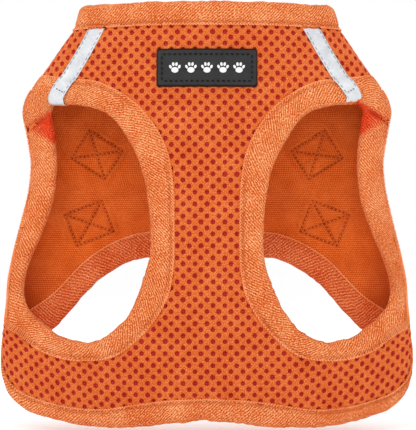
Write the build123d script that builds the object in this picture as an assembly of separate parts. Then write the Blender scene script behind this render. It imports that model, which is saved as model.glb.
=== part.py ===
"""Step-in vest harness for a small dog, in millimetres.

A flattened fabric tube: the chest bulges forward (-Y), the back lies flat (+Y), and the sides
are soft folds. +Z points to the neck, +X is the left-right axis. The origin is the centre of the
girth opening, level with the lowest point of the hem. Two back flaps meet at X = 0. A
hook-and-loop tab laps over them above the buckle, and each flap carries webbing, a D-ring and
one half of the buckle. The buckle is drawn unclipped, so that the flaps can open.
"""

import os
from math import atan2, cos, degrees, radians, sin, sqrt

from build123d import *

# ---- the fabric tube ----------------------------------------------------------------------
BACK_Y = 24.0  # outer face of the flat back
FOLD_R = 9.0  # radius of the soft fold at each side
MESH_T = 2.2  # spacer mesh, the outer layer
LINING_T = 1.0  # smooth lining, the inner layer
PROUD = 0.8  # how far binding tape stands off the fabric on each face
FOLD_Y = BACK_Y - FOLD_R  # the plane where front turns into back
TUBE_LOW, TUBE_HIGH = -8.0, 222.0  # past both trimmed ends
# height, half width at the folds, how far the chest stands forward of the origin
STATIONS = [
    (TUBE_LOW, 101.0, 18.0),
    (38.0, 103.2, 20.0),
    (82.0, 98.8, 20.0),
    (128.0, 90.0, 19.0),
    (160.0, 91.8, 17.0),
    (180.0, 80.6, 15.0),
    (200.0, 67.6, 13.0),
    (TUBE_HIGH, 58.0, 12.0),
]
DEEP = 80.0  # Y reach of the trimming prisms, past every solid

# ---- edges, as (x, z) of the left half; each outline is a curve through them -----------------
HEM_FREE = [(-104, 38), (-101.5, 23), (-88, 10), (-50, 0), (0, 3.5)]
HEM_SEWN = [(-104.5, 47), (-99.5, 30), (-90, 18), (-56, 10), (0, 15)]
BACK_HEM_FREE = [(-104.5, 36), (-77.5, 48.5), (-52, 75), (-28, 84), (0, 86)]
BACK_HEM_SEWN = [(-104.5, 48), (-85, 58), (-56, 88), (-28, 97), (0, 98.5)]
NECK_FREE = [(-80, 211.2), (0, 213.4)]
NECK_SEWN = [(-80, 200.6), (0, 202)]
BACK_NECK_FREE = [(-80, 211.2), (0, 207.5)]
BACK_NECK_SEWN = [(-80, 200.6), (0, 196.5)]
LEG_FREE = [(-77.4, 160.2), (-58, 160.5), (-38.5, 142), (-28.2, 99), (-38, 60), (-59, 43.7),
            (-82, 52.5), (-92.4, 68), (-88.2, 86), (-79.6, 108), (-76.6, 130), (-77.8, 150)]
LEG_SEWN = [(-106, 174), (-84, 177.5), (-60, 176.5), (-33, 160), (-17, 122), (-17.5, 82),
            (-34, 44.5), (-60, 34.7), (-84, 43), (-106, 53)]

# ---- the back flaps' fold lines ---------------------------------------------------------------
HINGE_Y = BACK_Y + PROUD  # the outermost face, so that a flap swings clear of the body
HINGE_X, HINGE_Z, HINGE_LEAN = -77.5, 107.0, 0.21  # x at that z, and x gained per mm of height
FLAP_GAP = 0.35  # clearance between a flap and the body
CENTRE_GAP = 0.5  # from the middle plane to each flap's edge

# ---- closure tab and hook-and-loop strips -------------------------------------------------------
TAB_LOW, TAB_HIGH = 134.5, 194.5  # above the buckle, which would trap a longer tab
TAB_TIP_X, TAB_ROOT_X = -22.0, 11.0
STRIP_T = 1.2
TAB_T = 2.0
STRIP_GAP = 0.3
LOOP_Y = BACK_Y + STRIP_T
HOOK_Y = LOOP_Y + STRIP_GAP
TAB_Y = HOOK_Y + STRIP_T

# ---- webbing, rings and buckle; the left side is drawn and the right side mirrors it ----------
WEB_W, WEB_T = 20.0, 1.6
WEB_Z = 118.0  # height of the straps' shared centre line
UPPER_BOX, UPPER_TILT = (-56.0, 137.5), -32.0  # centre of the stitched box, webbing angle
LOWER_BOX, LOWER_TILT = (-60.0, 102.5), 21.0
BOX_LONG, BOX_WIDE = 20.0, 17.0
LEG_END_X = -36.0  # where the two webbing legs are cut off under the loops
BAR_R, BORE_R = 1.5, 1.75  # ring and buckle bars, and the webbing fold around them
LOOP_R = BORE_R + 1.4
RING_X = -46.0
RING_Y = BACK_Y + WEB_T + LOOP_R - 0.05
RING_HALF, RING_CORNER, RING_SIDE = 10.5, 2.0, 2.5
BUCKLE_X, BUCKLE_Y = -31.0, 33.0  # the bar of the left half; the right half's bar mirrors it
BUCKLE_T, BUCKLE_W = 7.6, 26.0
EAR_T = 2.6
BODY_X = -27.2  # back face of a buckle half's body, clear of the webbing fold
SOCKET_MOUTH_X = -6.5
ARM_ROOT_X, ARM_ROOT_Z, ARM_ROOT_R = 21.4, 8.0, 1.6
ARM_TIP_X, ARM_T = 3.0, 4.0
ARM_CLEAR = 0.12

# ---- trim on the chest ---------------------------------------------------------------------
LABEL_W, LABEL_H, LABEL_Z, LABEL_T = 50.0, 19.2, 180.2, 2.2
EMBLEM_T = 0.5
EMBLEM_STEP, EMBLEM_COUNT = 7.8, 5
STRIPE_OUTER = [(-59.7, 200.6), (-71.6, 178), (-78.2, 168), (-78.7, 160.5)]
STRIPE_INNER = [(-71.3, 160.5), (-70.4, 167), (-64, 177), (-51.4, 200.6)]
STRIPE_T = 0.7


def mirrored(points):
    """The left half's points and their mirror image, as one run from left to right."""
    return points + [(-x, z) for x, z in reversed(points[:-1])]


def upright(face_points, smooth=False, close=None):
    """A face in the XZ plane: straight sides, or a curve closed by the points in close."""
    if smooth:
        curve = Spline([(x, 0, z) for x, z in face_points])
        rest = Polyline([(x, 0, z) for x, z in [face_points[-1], *close, face_points[0]]])
        return make_face([curve, rest])
    return make_face(Polyline([(x, 0, z) for x, z in [*face_points, face_points[0]]]))


def prism(face, low, high):
    """The face, standing in the XZ plane, drawn out along Y from low to high."""
    return extrude(face.moved(Location((0, low, 0))), high - low, dir=(0, 1, 0))


def block(x0, x1, y0, y1, z0, z1):
    """A box by its six sides."""
    size = (x1 - x0, y1 - y0, z1 - z0)
    centre = ((x0 + x1) / 2, (y0 + y1) / 2, (z0 + z1) / 2)
    return Pos(*centre) * Box(*size)


def section(z, half_width, bulge, inset):
    """The tube's outline at one height: flat back, two fold arcs and one wide chest arc."""
    w, back, fold = half_width - inset, BACK_Y - inset, FOLD_R - inset
    front = bulge - inset
    reach = w - fold
    depth = front + back - fold
    big = (reach**2 + depth**2 - fold**2) / (2 * (depth - fold))
    centre_y = big - front
    span = big - fold
    ux, uy = reach / span, (centre_y - FOLD_Y) / span
    touch = (ux * big, centre_y - uy * big)
    mid = sqrt(((1 + ux) / 2) ** 2 + (uy / 2) ** 2)
    outer = (reach + fold * (1 + ux) / 2 / mid, FOLD_Y - fold * uy / 2 / mid)
    return Wire([
        Line((-reach, back, z), (reach, back, z)),
        ThreePointArc((reach, back, z), (reach + fold * sin(radians(50)),
                      FOLD_Y + fold * cos(radians(50)), z), (reach + fold, FOLD_Y, z)),
        ThreePointArc((reach + fold, FOLD_Y, z), (*outer, z), (*touch, z)),
        ThreePointArc((*touch, z), (0, -front, z), (-touch[0], touch[1], z)),
        ThreePointArc((-touch[0], touch[1], z), (-outer[0], outer[1], z), (-reach - fold, FOLD_Y, z)),
        ThreePointArc((-reach - fold, FOLD_Y, z), (-reach - fold * sin(radians(50)),
                      FOLD_Y + fold * cos(radians(50)), z), (-reach, back, z)),
    ])


def tube(inset):
    """The whole tube as one closed solid, inset from the fabric's outer face."""
    low, high = STATIONS[0], STATIONS[-1]
    ends = [(low[0] - inset - 2, *low[1:]), *STATIONS[1:-1], (high[0] + inset + 2, *high[1:])]
    return Part() + Solid.make_loft([section(z, w, f, inset) for z, w, f in ends], ruled=True)


def layer(outer, inner):
    """A skin of the tube between two insets."""
    return tube(outer) - tube(inner)


def above(front_edge, back_edge):
    """The space above an edge that differs between the front and the back."""
    lids = [(DEEP * 2, 0), (DEEP * 2, DEEP * 4), (-DEEP * 2, DEEP * 4), (-DEEP * 2, 0)]
    fronts = [(-DEEP * 2, front_edge[0][1]), *mirrored(front_edge), (DEEP * 2, front_edge[0][1])]
    backs = [(-DEEP * 2, back_edge[0][1]), *mirrored(back_edge), (DEEP * 2, back_edge[0][1])]
    spaces = []
    for run, low, high in ((fronts, -DEEP, FOLD_Y), (backs, FOLD_Y, DEEP)):
        curve = Spline([(x, 0, z) for x, z in run[1:-1]])
        lid = Polyline([(x, 0, z) for x, z in
                        [run[-2], run[-1], lids[1], lids[2], run[0], run[1]]])
        spaces.append(prism(make_face([curve, lid]), low, high))
    return spaces[0] + spaces[1]


def leg_opening():
    """The space of the left leg opening, in front of the fold."""
    edge = Spline([(x, 0, z) for x, z in LEG_FREE], periodic=True)
    return prism(make_face(edge), -DEEP, FOLD_Y)


def leg_sewing():
    """The space of the opening with its tape, which reaches round to the side fold."""
    side = [(-DEEP * 2, LEG_SEWN[-1][1]), (-DEEP * 2, LEG_SEWN[0][1])]
    return prism(upright(LEG_SEWN, smooth=True, close=side), -DEEP, FOLD_Y)


def both(shape):
    """A shape and its mirror image in the YZ plane."""
    return shape + shape.mirror(Plane.YZ)


def hinge_x(z):
    """Where the left flap's fold line is at a height."""
    return HINGE_X + (z - HINGE_Z) * HINGE_LEAN


def flap_space(grow):
    """The left flap's share of the back, grown sideways by the clearance for the body's cut."""
    low, high = 30.0, DEEP * 3
    inner = CENTRE_GAP if grow else -CENTRE_GAP
    outline = [(hinge_x(low) - grow, low), (hinge_x(high) - grow, high), (inner, high), (inner, low)]
    return prism(upright(outline), FOLD_Y + 1, DEEP)


def build_fabric():
    """Mesh, lining and binding tape, split between the body and the two flaps."""
    free = above(HEM_FREE, BACK_HEM_FREE) - above(NECK_FREE, BACK_NECK_FREE)
    hem_sewn = above(HEM_SEWN, BACK_HEM_SEWN)
    neck_sewn = above(NECK_SEWN, BACK_NECK_SEWN)
    leg_open = leg_opening()
    leg_sewn = leg_sewing()
    flap = flap_space(0)
    body = free - both(flap_space(FLAP_GAP))
    cloth = hem_sewn - neck_sewn - both(leg_sewn)
    mesh = layer(0, MESH_T)
    lining = layer(MESH_T, MESH_T + LINING_T)
    tape = layer(-PROUD, MESH_T + LINING_T + PROUD)
    hem = tape & (free - hem_sewn)
    neck = tape & (free & neck_sewn)
    leg = (tape & leg_sewn) - leg_open
    nodes = {
        "chest_mesh": mesh & cloth & body,
        "chest_lining": lining & cloth & body,
        "front_hem_binding": hem & body,
        "front_neck_binding": neck & body,
        "left_leg_binding": leg - flap_space(FLAP_GAP),
        "left_back_mesh": mesh & cloth & flap,
        "left_back_lining": lining & cloth & flap,
        "left_hem_binding": hem & flap,
        "left_neck_binding": neck & flap,
    }
    for name in list(nodes):
        if name.startswith("left"):
            nodes[name.replace("left", "right")] = nodes[name].mirror(Plane.YZ)
    return nodes


def build_trim(leg_bindings):
    """Reflective stripes and the rubber label with its raised emblem, all laid on the chest."""
    stripe = prism(upright(STRIPE_OUTER + STRIPE_INNER), -DEEP, FOLD_Y)
    skin = layer(-PROUD - STRIPE_T, 0) & stripe
    left_stripe = skin - leg_bindings["left_leg_binding"]
    patch = prism(Plane.XZ * Pos(0, LABEL_Z) * RectangleRounded(LABEL_W, LABEL_H, 1.2), -DEEP, 0)
    label = layer(-LABEL_T, 0) & patch
    pads = []
    for i in range(EMBLEM_COUNT):
        x = (i - (EMBLEM_COUNT - 1) / 2) * EMBLEM_STEP
        pads.append(prism(Plane.XZ * Pos(x, LABEL_Z) * Ellipse(2.6, 2.8), -DEEP, 0))
    raised = layer(-LABEL_T - EMBLEM_T, -LABEL_T)
    emblem = Compound([solid for pad in pads for solid in (raised & pad).solids()])
    return {
        "left_reflective_stripe": left_stripe,
        "right_reflective_stripe": left_stripe.mirror(Plane.YZ),
        "label_patch": label,
        "label_emblem": emblem,
    }


def build_closure():
    """The hook-and-loop tab that laps over the left flap, and its two strips."""
    root_y, tip_y = BACK_Y + TAB_T, TAB_Y + TAB_T
    profile = [(TAB_ROOT_X, BACK_Y), (TAB_ROOT_X, root_y), (4.5, root_y), (0.0, tip_y),
               (TAB_TIP_X, tip_y), (TAB_TIP_X, TAB_Y), (-0.8, TAB_Y), (3.4, BACK_Y)]
    face = make_face(Polyline([(x, y, TAB_LOW) for x, y in [*profile, profile[0]]]))
    tab = extrude(face, TAB_HIGH - TAB_LOW, dir=(0, 0, 1))
    edge = 1.5
    strip = (TAB_TIP_X + edge, -edge)
    return {
        "closure_tab": tab,
        "loop_strip": block(*strip, BACK_Y, LOOP_Y, TAB_LOW, TAB_HIGH),
        "hook_strip": block(*strip, HOOK_Y, TAB_Y, TAB_LOW + edge, TAB_HIGH - edge),
    }


def webbing_leg(box, tilt):
    """One flat webbing leg, from under the loops to just past its stitched box."""
    beyond = BOX_LONG / 2 + 1
    run = (LEG_END_X - box[0]) / cos(radians(tilt)) + WEB_W
    leg = block(-beyond, run, BACK_Y, BACK_Y + WEB_T, -WEB_W / 2, WEB_W / 2)
    placed = Pos(box[0], 0, box[1]) * Rot(0, -tilt, 0) * leg
    return placed & block(-DEEP * 2, LEG_END_X, 0, DEEP, 0, DEEP * 3)


def build_strap():
    """The left webbing: two legs that meet under folds holding the ring and the buckle bar."""
    top = BACK_Y + WEB_T
    stack = top + 2.8
    web = [(RING_X, top - 0.4), (LEG_END_X, top - 0.4), (BUCKLE_X + 2.1, BUCKLE_Y - 2.3),
           (BUCKLE_X - 1.5, BUCKLE_Y + 2.7), (LEG_END_X - 3.0, stack), (RING_X, stack)]
    face = make_face(Polyline([(x, y, 0) for x, y in [*web, web[0]]]))
    loops = Sketch() + face + Pos(RING_X, RING_Y) * Circle(LOOP_R)
    loops = loops + Pos(BUCKLE_X, BUCKLE_Y) * Circle(LOOP_R)
    loops = loops - Pos(RING_X, RING_Y) * Circle(BORE_R)
    loops = loops - Pos(BUCKLE_X, BUCKLE_Y) * Circle(BORE_R)
    folds = Pos(0, 0, WEB_Z - WEB_W / 2) * extrude(loops, WEB_W, dir=(0, 0, 1))
    legs = webbing_leg(UPPER_BOX, UPPER_TILT) + webbing_leg(LOWER_BOX, LOWER_TILT)
    return legs + folds


def build_seam(box, tilt):
    """One sewn box with its cross, raised on the lining behind a webbing leg."""
    line, rise = 0.9, 0.5
    face_y = BACK_Y - MESH_T - LINING_T
    slope = degrees(atan2(BOX_WIDE, BOX_LONG))
    diagonal = Rectangle(sqrt(BOX_LONG**2 + BOX_WIDE**2), line)
    outer = Rectangle(BOX_LONG, BOX_WIDE)
    frame = outer - Rectangle(BOX_LONG - 2 * line, BOX_WIDE - 2 * line)
    cross = (Rot(0, 0, slope) * diagonal + Rot(0, 0, -slope) * diagonal) & outer
    seam = extrude(frame + cross, rise)
    return Pos(box[0], face_y, box[1]) * Rot(0, -tilt, 0) * Rot(90, 0, 0) * seam


def build_stitching():
    """Box-and-cross seams on the lining, and the bar tack that closes the webbing folds."""
    seams = [build_seam(UPPER_BOX, UPPER_TILT), build_seam(LOWER_BOX, LOWER_TILT)]
    tack_x = LEG_END_X - 3.6
    top = BACK_Y + WEB_T + 2.8
    half = WEB_W / 2 - 1
    tack = block(tack_x - 1, tack_x + 0.4, top, top + 0.5, WEB_Z - half, WEB_Z + half)
    return Compound([solid for seam in seams for solid in seam.solids()]), tack


def build_ring():
    """The left D-ring: a straight bar in the webbing fold, and a round bow beside it."""
    h, c, side = RING_HALF, RING_CORNER, RING_SIDE
    top = h + c
    s = c * (1 - sqrt(0.5))

    def at(x, z):
        return (RING_X + x, RING_Y, WEB_Z + z)

    path = Wire([
        Line(at(0, -h), at(0, h)),
        ThreePointArc(at(0, h), at(-s, top - s), at(-c, top)),
        Line(at(-c, top), at(-c - side, top)),
        ThreePointArc(at(-c - side, top), at(-c - side - top, 0), at(-c - side, -top)),
        Line(at(-c - side, -top), at(-c, -top)),
        ThreePointArc(at(-c, -top), at(-s, -top + s), at(0, -h)),
    ])
    start = Plane(origin=at(0, -h), z_dir=(0, 0, 1))
    return sweep(start * Circle(BAR_R), path=path)


def build_buckle_end():
    """The ears and the bar that hold the left buckle half in its webbing fold."""
    ear_z = (BUCKLE_W - EAR_T) / 2
    end = Pos(BUCKLE_X, BUCKLE_Y, WEB_Z) * Cylinder(BAR_R, BUCKLE_W - 1)
    for z in (WEB_Z - ear_z, WEB_Z + ear_z):
        end = end + Pos(BUCKLE_X, BUCKLE_Y, z) * Cylinder(2.9, EAR_T)
        end = end + block(BUCKLE_X, BODY_X + 0.5, BUCKLE_Y - 2.9, BUCKLE_Y + 2.9,
                          z - EAR_T / 2, z + EAR_T / 2)
    return end


def build_socket():
    """The left buckle half: a flat box with an open mouth and a window on each edge."""
    half_t, half_w = BUCKLE_T / 2, BUCKLE_W / 2
    shell = block(BODY_X, SOCKET_MOUTH_X, BUCKLE_Y - half_t, BUCKLE_Y + half_t,
                  WEB_Z - half_w, WEB_Z + half_w)
    shell = fillet(shell.edges().filter_by(Axis.X), 2.2)
    cavity = block(BODY_X + 2.5, SOCKET_MOUTH_X + 1, BUCKLE_Y - 2.4, BUCKLE_Y + 2.4,
                   WEB_Z - half_w + 2.6, WEB_Z + half_w - 2.6)
    window = block(BODY_X + 5, SOCKET_MOUTH_X - 6, BUCKLE_Y - 2.2, BUCKLE_Y + 2.2,
                   WEB_Z - half_w - 1, WEB_Z + half_w + 1)
    return (shell - cavity - window) + build_buckle_end()


def build_plug():
    """The right buckle half's body: cross wall, guide tongue and seats for the two arms."""
    half_w = BUCKLE_W / 2
    wall = block(20.6, -BODY_X, BUCKLE_Y - 2.9, BUCKLE_Y + 2.9, WEB_Z - half_w, WEB_Z + half_w)
    wall = fillet(wall.edges().filter_by(Axis.X), 1.8)
    tongue = block(8.0, 21.0, BUCKLE_Y - 1.4, BUCKLE_Y + 1.4, WEB_Z - 2.2, WEB_Z + 2.2)
    tongue = fillet(tongue.edges().filter_by(Axis.Y).sort_by(Axis.X)[:2], 1.6)
    plug = wall + tongue + build_buckle_end().mirror(Plane.YZ)
    for side in (1, -1):
        seat_z = WEB_Z + side * ARM_ROOT_Z
        seat = Cylinder(ARM_ROOT_R + ARM_CLEAR, 8)
        plug = plug - Pos(ARM_ROOT_X, BUCKLE_Y, seat_z) * Rot(90, 0, 0) * seat
        plug = plug - block(19.0, ARM_ROOT_X, BUCKLE_Y - 4, BUCKLE_Y + 4, seat_z - 2.4, seat_z + 2.4)
    return plug


def build_arm(side):
    """One springy arm of the plug, with the barb that catches in the socket's window."""
    root_z = WEB_Z + side * ARM_ROOT_Z
    outline = [(ARM_ROOT_X, 7.0), (12.0, 6.6), (5.2, 5.4), (ARM_TIP_X, 6.6), (ARM_TIP_X, 8.2),
               (6.8, 11.4), (10.6, 12.2), (11.2, 9.4), (ARM_ROOT_X, 9.2)]
    face = upright([(x, WEB_Z + side * z) for x, z in outline])
    beam = prism(face, BUCKLE_Y - ARM_T / 2, BUCKLE_Y + ARM_T / 2)
    root = Pos(ARM_ROOT_X, BUCKLE_Y, root_z) * Rot(90, 0, 0) * Cylinder(ARM_ROOT_R, ARM_T)
    return beam + root


def main():
    nodes = build_fabric()
    nodes.update(build_trim(nodes))
    nodes.update(build_closure())
    strap = build_strap()
    seams, tack = build_stitching()
    ring = build_ring()
    for name, shape in (("strap", strap), ("box_stitching", seams), ("bar_tack", tack),
                        ("d_ring", ring)):
        nodes["left_" + name] = shape
        nodes["right_" + name] = shape.mirror(Plane.YZ)
    nodes["buckle_socket"] = build_socket()
    nodes["buckle_plug"] = build_plug()
    nodes["upper_arm"] = build_arm(1)
    nodes["lower_arm"] = build_arm(-1)
    os.makedirs("parts", exist_ok=True)
    for name, shape in nodes.items():
        solids = shape.solids()
        export_step(solids[0] if len(solids) == 1 else Compound(solids), f"parts/{name}.step")
        print(name, len(solids), round(sum(s.volume for s in solids)))


main()
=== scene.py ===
import math

import bpy
import numpy as np
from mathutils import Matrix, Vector


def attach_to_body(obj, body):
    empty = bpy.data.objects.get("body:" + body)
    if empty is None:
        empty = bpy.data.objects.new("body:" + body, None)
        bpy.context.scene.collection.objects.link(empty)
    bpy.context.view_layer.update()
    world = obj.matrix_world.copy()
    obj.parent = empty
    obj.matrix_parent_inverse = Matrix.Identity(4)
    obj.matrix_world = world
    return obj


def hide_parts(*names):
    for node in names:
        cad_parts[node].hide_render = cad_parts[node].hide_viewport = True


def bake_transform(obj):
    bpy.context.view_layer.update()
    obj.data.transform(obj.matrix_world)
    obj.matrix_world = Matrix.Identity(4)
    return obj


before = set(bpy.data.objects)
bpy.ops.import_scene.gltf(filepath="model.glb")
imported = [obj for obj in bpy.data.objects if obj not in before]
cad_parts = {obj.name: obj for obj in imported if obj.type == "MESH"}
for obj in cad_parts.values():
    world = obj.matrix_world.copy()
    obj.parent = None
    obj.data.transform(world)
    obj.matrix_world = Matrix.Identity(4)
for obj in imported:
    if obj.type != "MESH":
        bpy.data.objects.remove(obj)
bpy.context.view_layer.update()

MM = 0.001

# ---- the fabric tube, in millimetres
BACK = 24.0  # outer face of the flat back
FOLD = 9.0  # radius of the side folds
FOLD_Y = BACK - FOLD
WIDTH_Z = [-12, 12, 22, 32, 42, 52, 62, 72, 82, 92, 102, 112, 122, 132, 142, 152, 158, 165, 172, 178, 187, 197,
           202, 212, 226]
WIDTH_X = [99.5, 101.2, 102, 103.5, 103.8, 102.9, 101.1, 100.5, 98.6, 96.4, 93.8, 91.2, 89.2, 88.4, 89.6,
           91.3, 92.2, 90.8, 87, 83, 76.8, 69.8, 66.4, 62.8, 58]
CHEST_Z = [-12, 38, 82, 128, 160, 180, 200, 226]
CHEST_Y = [17.5, 19.2, 19.4, 18.6, 17, 15, 13, 12]
LINING_N = -3.2  # the lining's inner face
TAPE_OUT, TAPE_IN = 0.8, -4.0  # the binding's two faces
SPLIT_DEGREES = 150  # how far round the side fold the chest pieces reach
SIDES = {-1: "left", 1: "right"}


def hermite(t, a, b, gap, slope_a, slope_b):
    return ((2 * t**3 - 3 * t**2 + 1) * a + (t**3 - 2 * t**2 + t) * gap * slope_a
            + (-2 * t**3 + 3 * t**2) * b + (t**3 - t**2) * gap * slope_b)


def pchip(xs, ys):
    """A smooth curve through the points that never overshoots them."""
    xs, ys = np.array(xs, float), np.array(ys, float)
    h, d = np.diff(xs), np.diff(ys) / np.diff(xs)
    m = np.zeros(len(xs))
    for i in range(1, len(xs) - 1):
        if d[i - 1] * d[i] > 0:
            a, b = 2 * h[i] + h[i - 1], h[i] + 2 * h[i - 1]
            m[i] = (a + b) / (a / d[i - 1] + b / d[i])
    m[0], m[-1] = d[0], d[-1]

    def f(x):
        x = np.clip(np.asarray(x, float), xs[0], xs[-1])
        i = np.clip(np.searchsorted(xs, x, "right") - 1, 0, len(h) - 1)
        t = (x - xs[i]) / h[i]
        return hermite(t, ys[i], ys[i + 1], h[i], m[i], m[i + 1])
    return f


width_at, chest_at = pchip(WIDTH_Z, WIDTH_X), pchip(CHEST_Z, CHEST_Y)


def section(z):
    """The tube's outline at each height: chest arc, fold arc, flat back. Lengths run from the chest's middle."""
    w, f = width_at(z), chest_at(z)
    reach, depth = w - FOLD, f + BACK - FOLD
    big = (reach**2 + depth**2 - FOLD**2) / (2 * (depth - FOLD))
    a0 = np.arcsin(reach / (big - FOLD))
    chest = big * a0
    side = chest + FOLD * (np.pi - a0)
    return reach, f, big, a0, chest, side


def surf(s, z, n=0.0):
    """The point at run s round the tube (negative on the left), height z, and n outside the fabric's outer face."""
    s, z, n = np.broadcast_arrays(np.asarray(s, float), np.asarray(z, float), np.asarray(n, float))
    reach, f, big, a0, chest, side = section(z)
    t = np.abs(s)
    phi = np.minimum(t, chest) / big
    x1, y1 = (big + n) * np.sin(phi), big - f - (big + n) * np.cos(phi)
    al = a0 + np.clip(t - chest, 0, side - chest) / FOLD
    x2, y2 = reach + (FOLD + n) * np.sin(al), FOLD_Y - (FOLD + n) * np.cos(al)
    x3, y3 = reach - (t - side), BACK + n
    x = np.where(t < chest, x1, np.where(t < side, x2, x3))
    y = np.where(t < chest, y1, np.where(t < side, y2, y3))
    return np.stack([np.where(s < 0, -x, x), y, z], -1)


def run_front(x, z):
    """The run of a point seen from the front at x."""
    reach, f, big, a0, chest, side = section(z)
    if x < big * math.sin(a0):
        return big * math.asin(x / big)
    return chest + FOLD * (math.asin(min(1, (x - reach) / FOLD)) - a0)


def run_fold(degrees, z):
    reach, f, big, a0, chest, side = section(z)
    return chest + FOLD * (math.radians(degrees) - a0)


def run_back(x, z):
    reach, f, big, a0, chest, side = section(z)
    if x < reach:
        return side + reach - x
    return chest + FOLD * (math.pi - math.asin(min(1, (x - reach) / FOLD)) - a0)


RUN = {"f": run_front, "a": run_fold, "b": run_back}


def runs(points):
    """(face, x or degrees, height) points as (run, height) points."""
    return np.array([(float(RUN[k](v, z)), z) for k, v, z in points])


def smooth_path(points, closed, step):
    """Points about a step apart on a smooth curve through rows of (run, height, ...) knots."""
    p = np.array(points, float)
    n = len(p)
    where = surf(p[:, 0], p[:, 1])
    count = n if closed else n - 1
    gaps = [float(np.linalg.norm(where[(i + 1) % n] - where[i])) for i in range(count)]
    out = []
    for i in range(count):
        a, b = p[i], p[(i + 1) % n]
        before = p[(i - 1) % n] if closed or i else 2 * a - b
        after = p[(i + 2) % n] if closed or i + 2 < n else 2 * b - a
        g = gaps[i]
        g0 = gaps[(i - 1) % count] if closed or i else g
        g1 = gaps[(i + 1) % count] if closed or i + 1 < count else g
        ma = ((a - before) / g0 * g + (b - a) / g * g0) / (g0 + g)
        mb = ((b - a) / g * g1 + (after - b) / g1 * g) / (g + g1)
        k = max(2, int(round(g / step)))
        t = (np.arange(k) / k)[:, None]
        out.append(hermite(t, a, b, g, ma, mb))
    out = np.concatenate(out)
    return out if closed else np.vstack([out, p[-1]])


# ---- edges, free edge then sewn edge
LEG_PAIRS = [
    ("f", 71, 161.9, "f", 66, 174.6), ("f", 63, 161.2, "f", 57, 173.7), ("f", 52.5, 158.5, "f", 46, 169.3),
    ("f", 44.7, 151.6, "f", 35, 161.8), ("f", 39.2, 143.5, "f", 26.7, 152), ("f", 35, 135, "f", 20.6, 141),
    ("f", 31, 123, "f", 17.2, 126), ("f", 29, 108, "f", 16.3, 108), ("f", 28, 96, "f", 16.2, 95),
    ("f", 29, 84, "f", 16.6, 81), ("f", 31.5, 75, "f", 18.6, 69), ("f", 35.5, 64.5, "f", 24, 57.5),
    ("f", 42, 54, "f", 33, 46.4), ("f", 52, 45.9, "f", 47, 36.2), ("f", 60, 43.6, "f", 59, 34.3),
    ("f", 67, 44.2, "f", 69, 34.6), ("f", 75, 46.6, "f", 80, 37.4), ("f", 81.5, 51.2, "f", 88.5, 41.8),
    ("f", 87.4, 55.8, "f", 95, 46.2), ("f", 91.6, 60.6, "a", 56, 50.6), ("f", 93.6, 66.8, "a", 68, 56.4),
    ("f", 93, 75, "a", 74, 66), ("f", 90, 84.5, "a", 76, 78), ("f", 85.7, 94, "a", 78, 90),
    ("f", 81.8, 103.5, "a", 80, 102), ("f", 78.6, 113, "a", 82, 113), ("f", 77, 124, "a", 84, 124),
    ("f", 76.6, 135, "a", 86, 135), ("f", 77.4, 145.5, "a", 88, 146), ("f", 78.6, 153, "a", 92, 156),
    ("f", 79.2, 158, "a", 94, 166), ("f", 77.8, 161.2, "a", 70, 176.6), ("f", 74.8, 162, "f", 76, 176),
]
HEM_PAIRS = [
    ("f", 0, 5.3, 15.8), ("f", 20, 3.2, 14.8), ("f", 36, 1.4, 12.6), ("f", 50, 1.0, 10.2), ("f", 66.5, 2.3, 10.4),
    ("f", 78, 4.4, 12.4), ("f", 86.5, 6.8, 14.8), ("f", 93.5, 9.8, 17.6), ("a", 60, 17, 25), ("a", 90, 27, 35.5),
    ("a", 120, 36, 46), ("b", 98, 41.5, 53), ("b", 90, 44, 58.4), ("b", 78.3, 48.4, 66.6), ("b", 72.2, 55, 72.8),
    ("b", 64, 64.3, 81.4), ("b", 57, 71.5, 87.2), ("b", 50, 77, 91.4), ("b", 42.7, 81.4, 94.8),
    ("b", 36, 83.8, 97), ("b", 29.5, 85, 98), ("b", 15, 86.4, 98.8), ("b", 0, 86.8, 99),
]
NECK_PAIRS = [
    ("f", 0, 212.9, 201.2), ("f", 30, 212.9, 201.2), ("f", 50, 212.7, 200.9), ("a", 90, 212.9, 200.4),
    ("b", 55, 212.2, 199.8), ("b", 30, 209.6, 197.8), ("b", 0, 207.8, 196.4),
]
STEP = 0.6
leg_rows = np.hstack([runs([r[:3] for r in LEG_PAIRS]), runs([r[3:] for r in LEG_PAIRS])])
LEG = smooth_path(leg_rows, True, STEP)


def band_rows(pairs):
    return np.array([(float(RUN[k](v, a)), a, float(RUN[k](v, b)), b) for k, v, a, b in pairs])


HEM = smooth_path(band_rows(HEM_PAIRS), False, STEP)
NECK = smooth_path(band_rows(NECK_PAIRS), False, STEP)


def inside_polygon(px, pz, polygon):
    hit = np.zeros(px.shape, bool)
    x0, z0 = polygon[-1]
    for x1, z1 in polygon[::4]:
        cross = (z1 > pz) != (z0 > pz)
        if z1 != z0:
            hit ^= cross & (px < (x0 - x1) * (pz - z1) / (z0 - z1) + x1)
        x0, z0 = x1, z1
    return hit


def lerp_rows(rows, t):
    return rows[:, :2] * (1 - t) + rows[:, 2:4] * t


def is_cloth(s, z, depth=0.5):
    """Whether a point lies on the sewn cloth, depth being how far under the tape the cloth reaches."""
    t = np.abs(s)
    hem, neck = lerp_rows(HEM, depth), lerp_rows(NECK, depth)
    low = np.interp(t, hem[:, 0], hem[:, 1])
    high = np.interp(t, neck[:, 0], neck[:, 1])
    return (z > low) & (z < high) & ~inside_polygon(t, z, lerp_rows(LEG, depth))


def fold_split(z):
    """The run where the chest pieces end and the back pieces begin, behind the side fold."""
    reach, f, big, a0, chest, side = section(z)
    return chest + FOLD * (math.radians(SPLIT_DEGREES) - a0)


def half_run(z):
    reach, f, big, a0, chest, side = section(z)
    return side + reach


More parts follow.
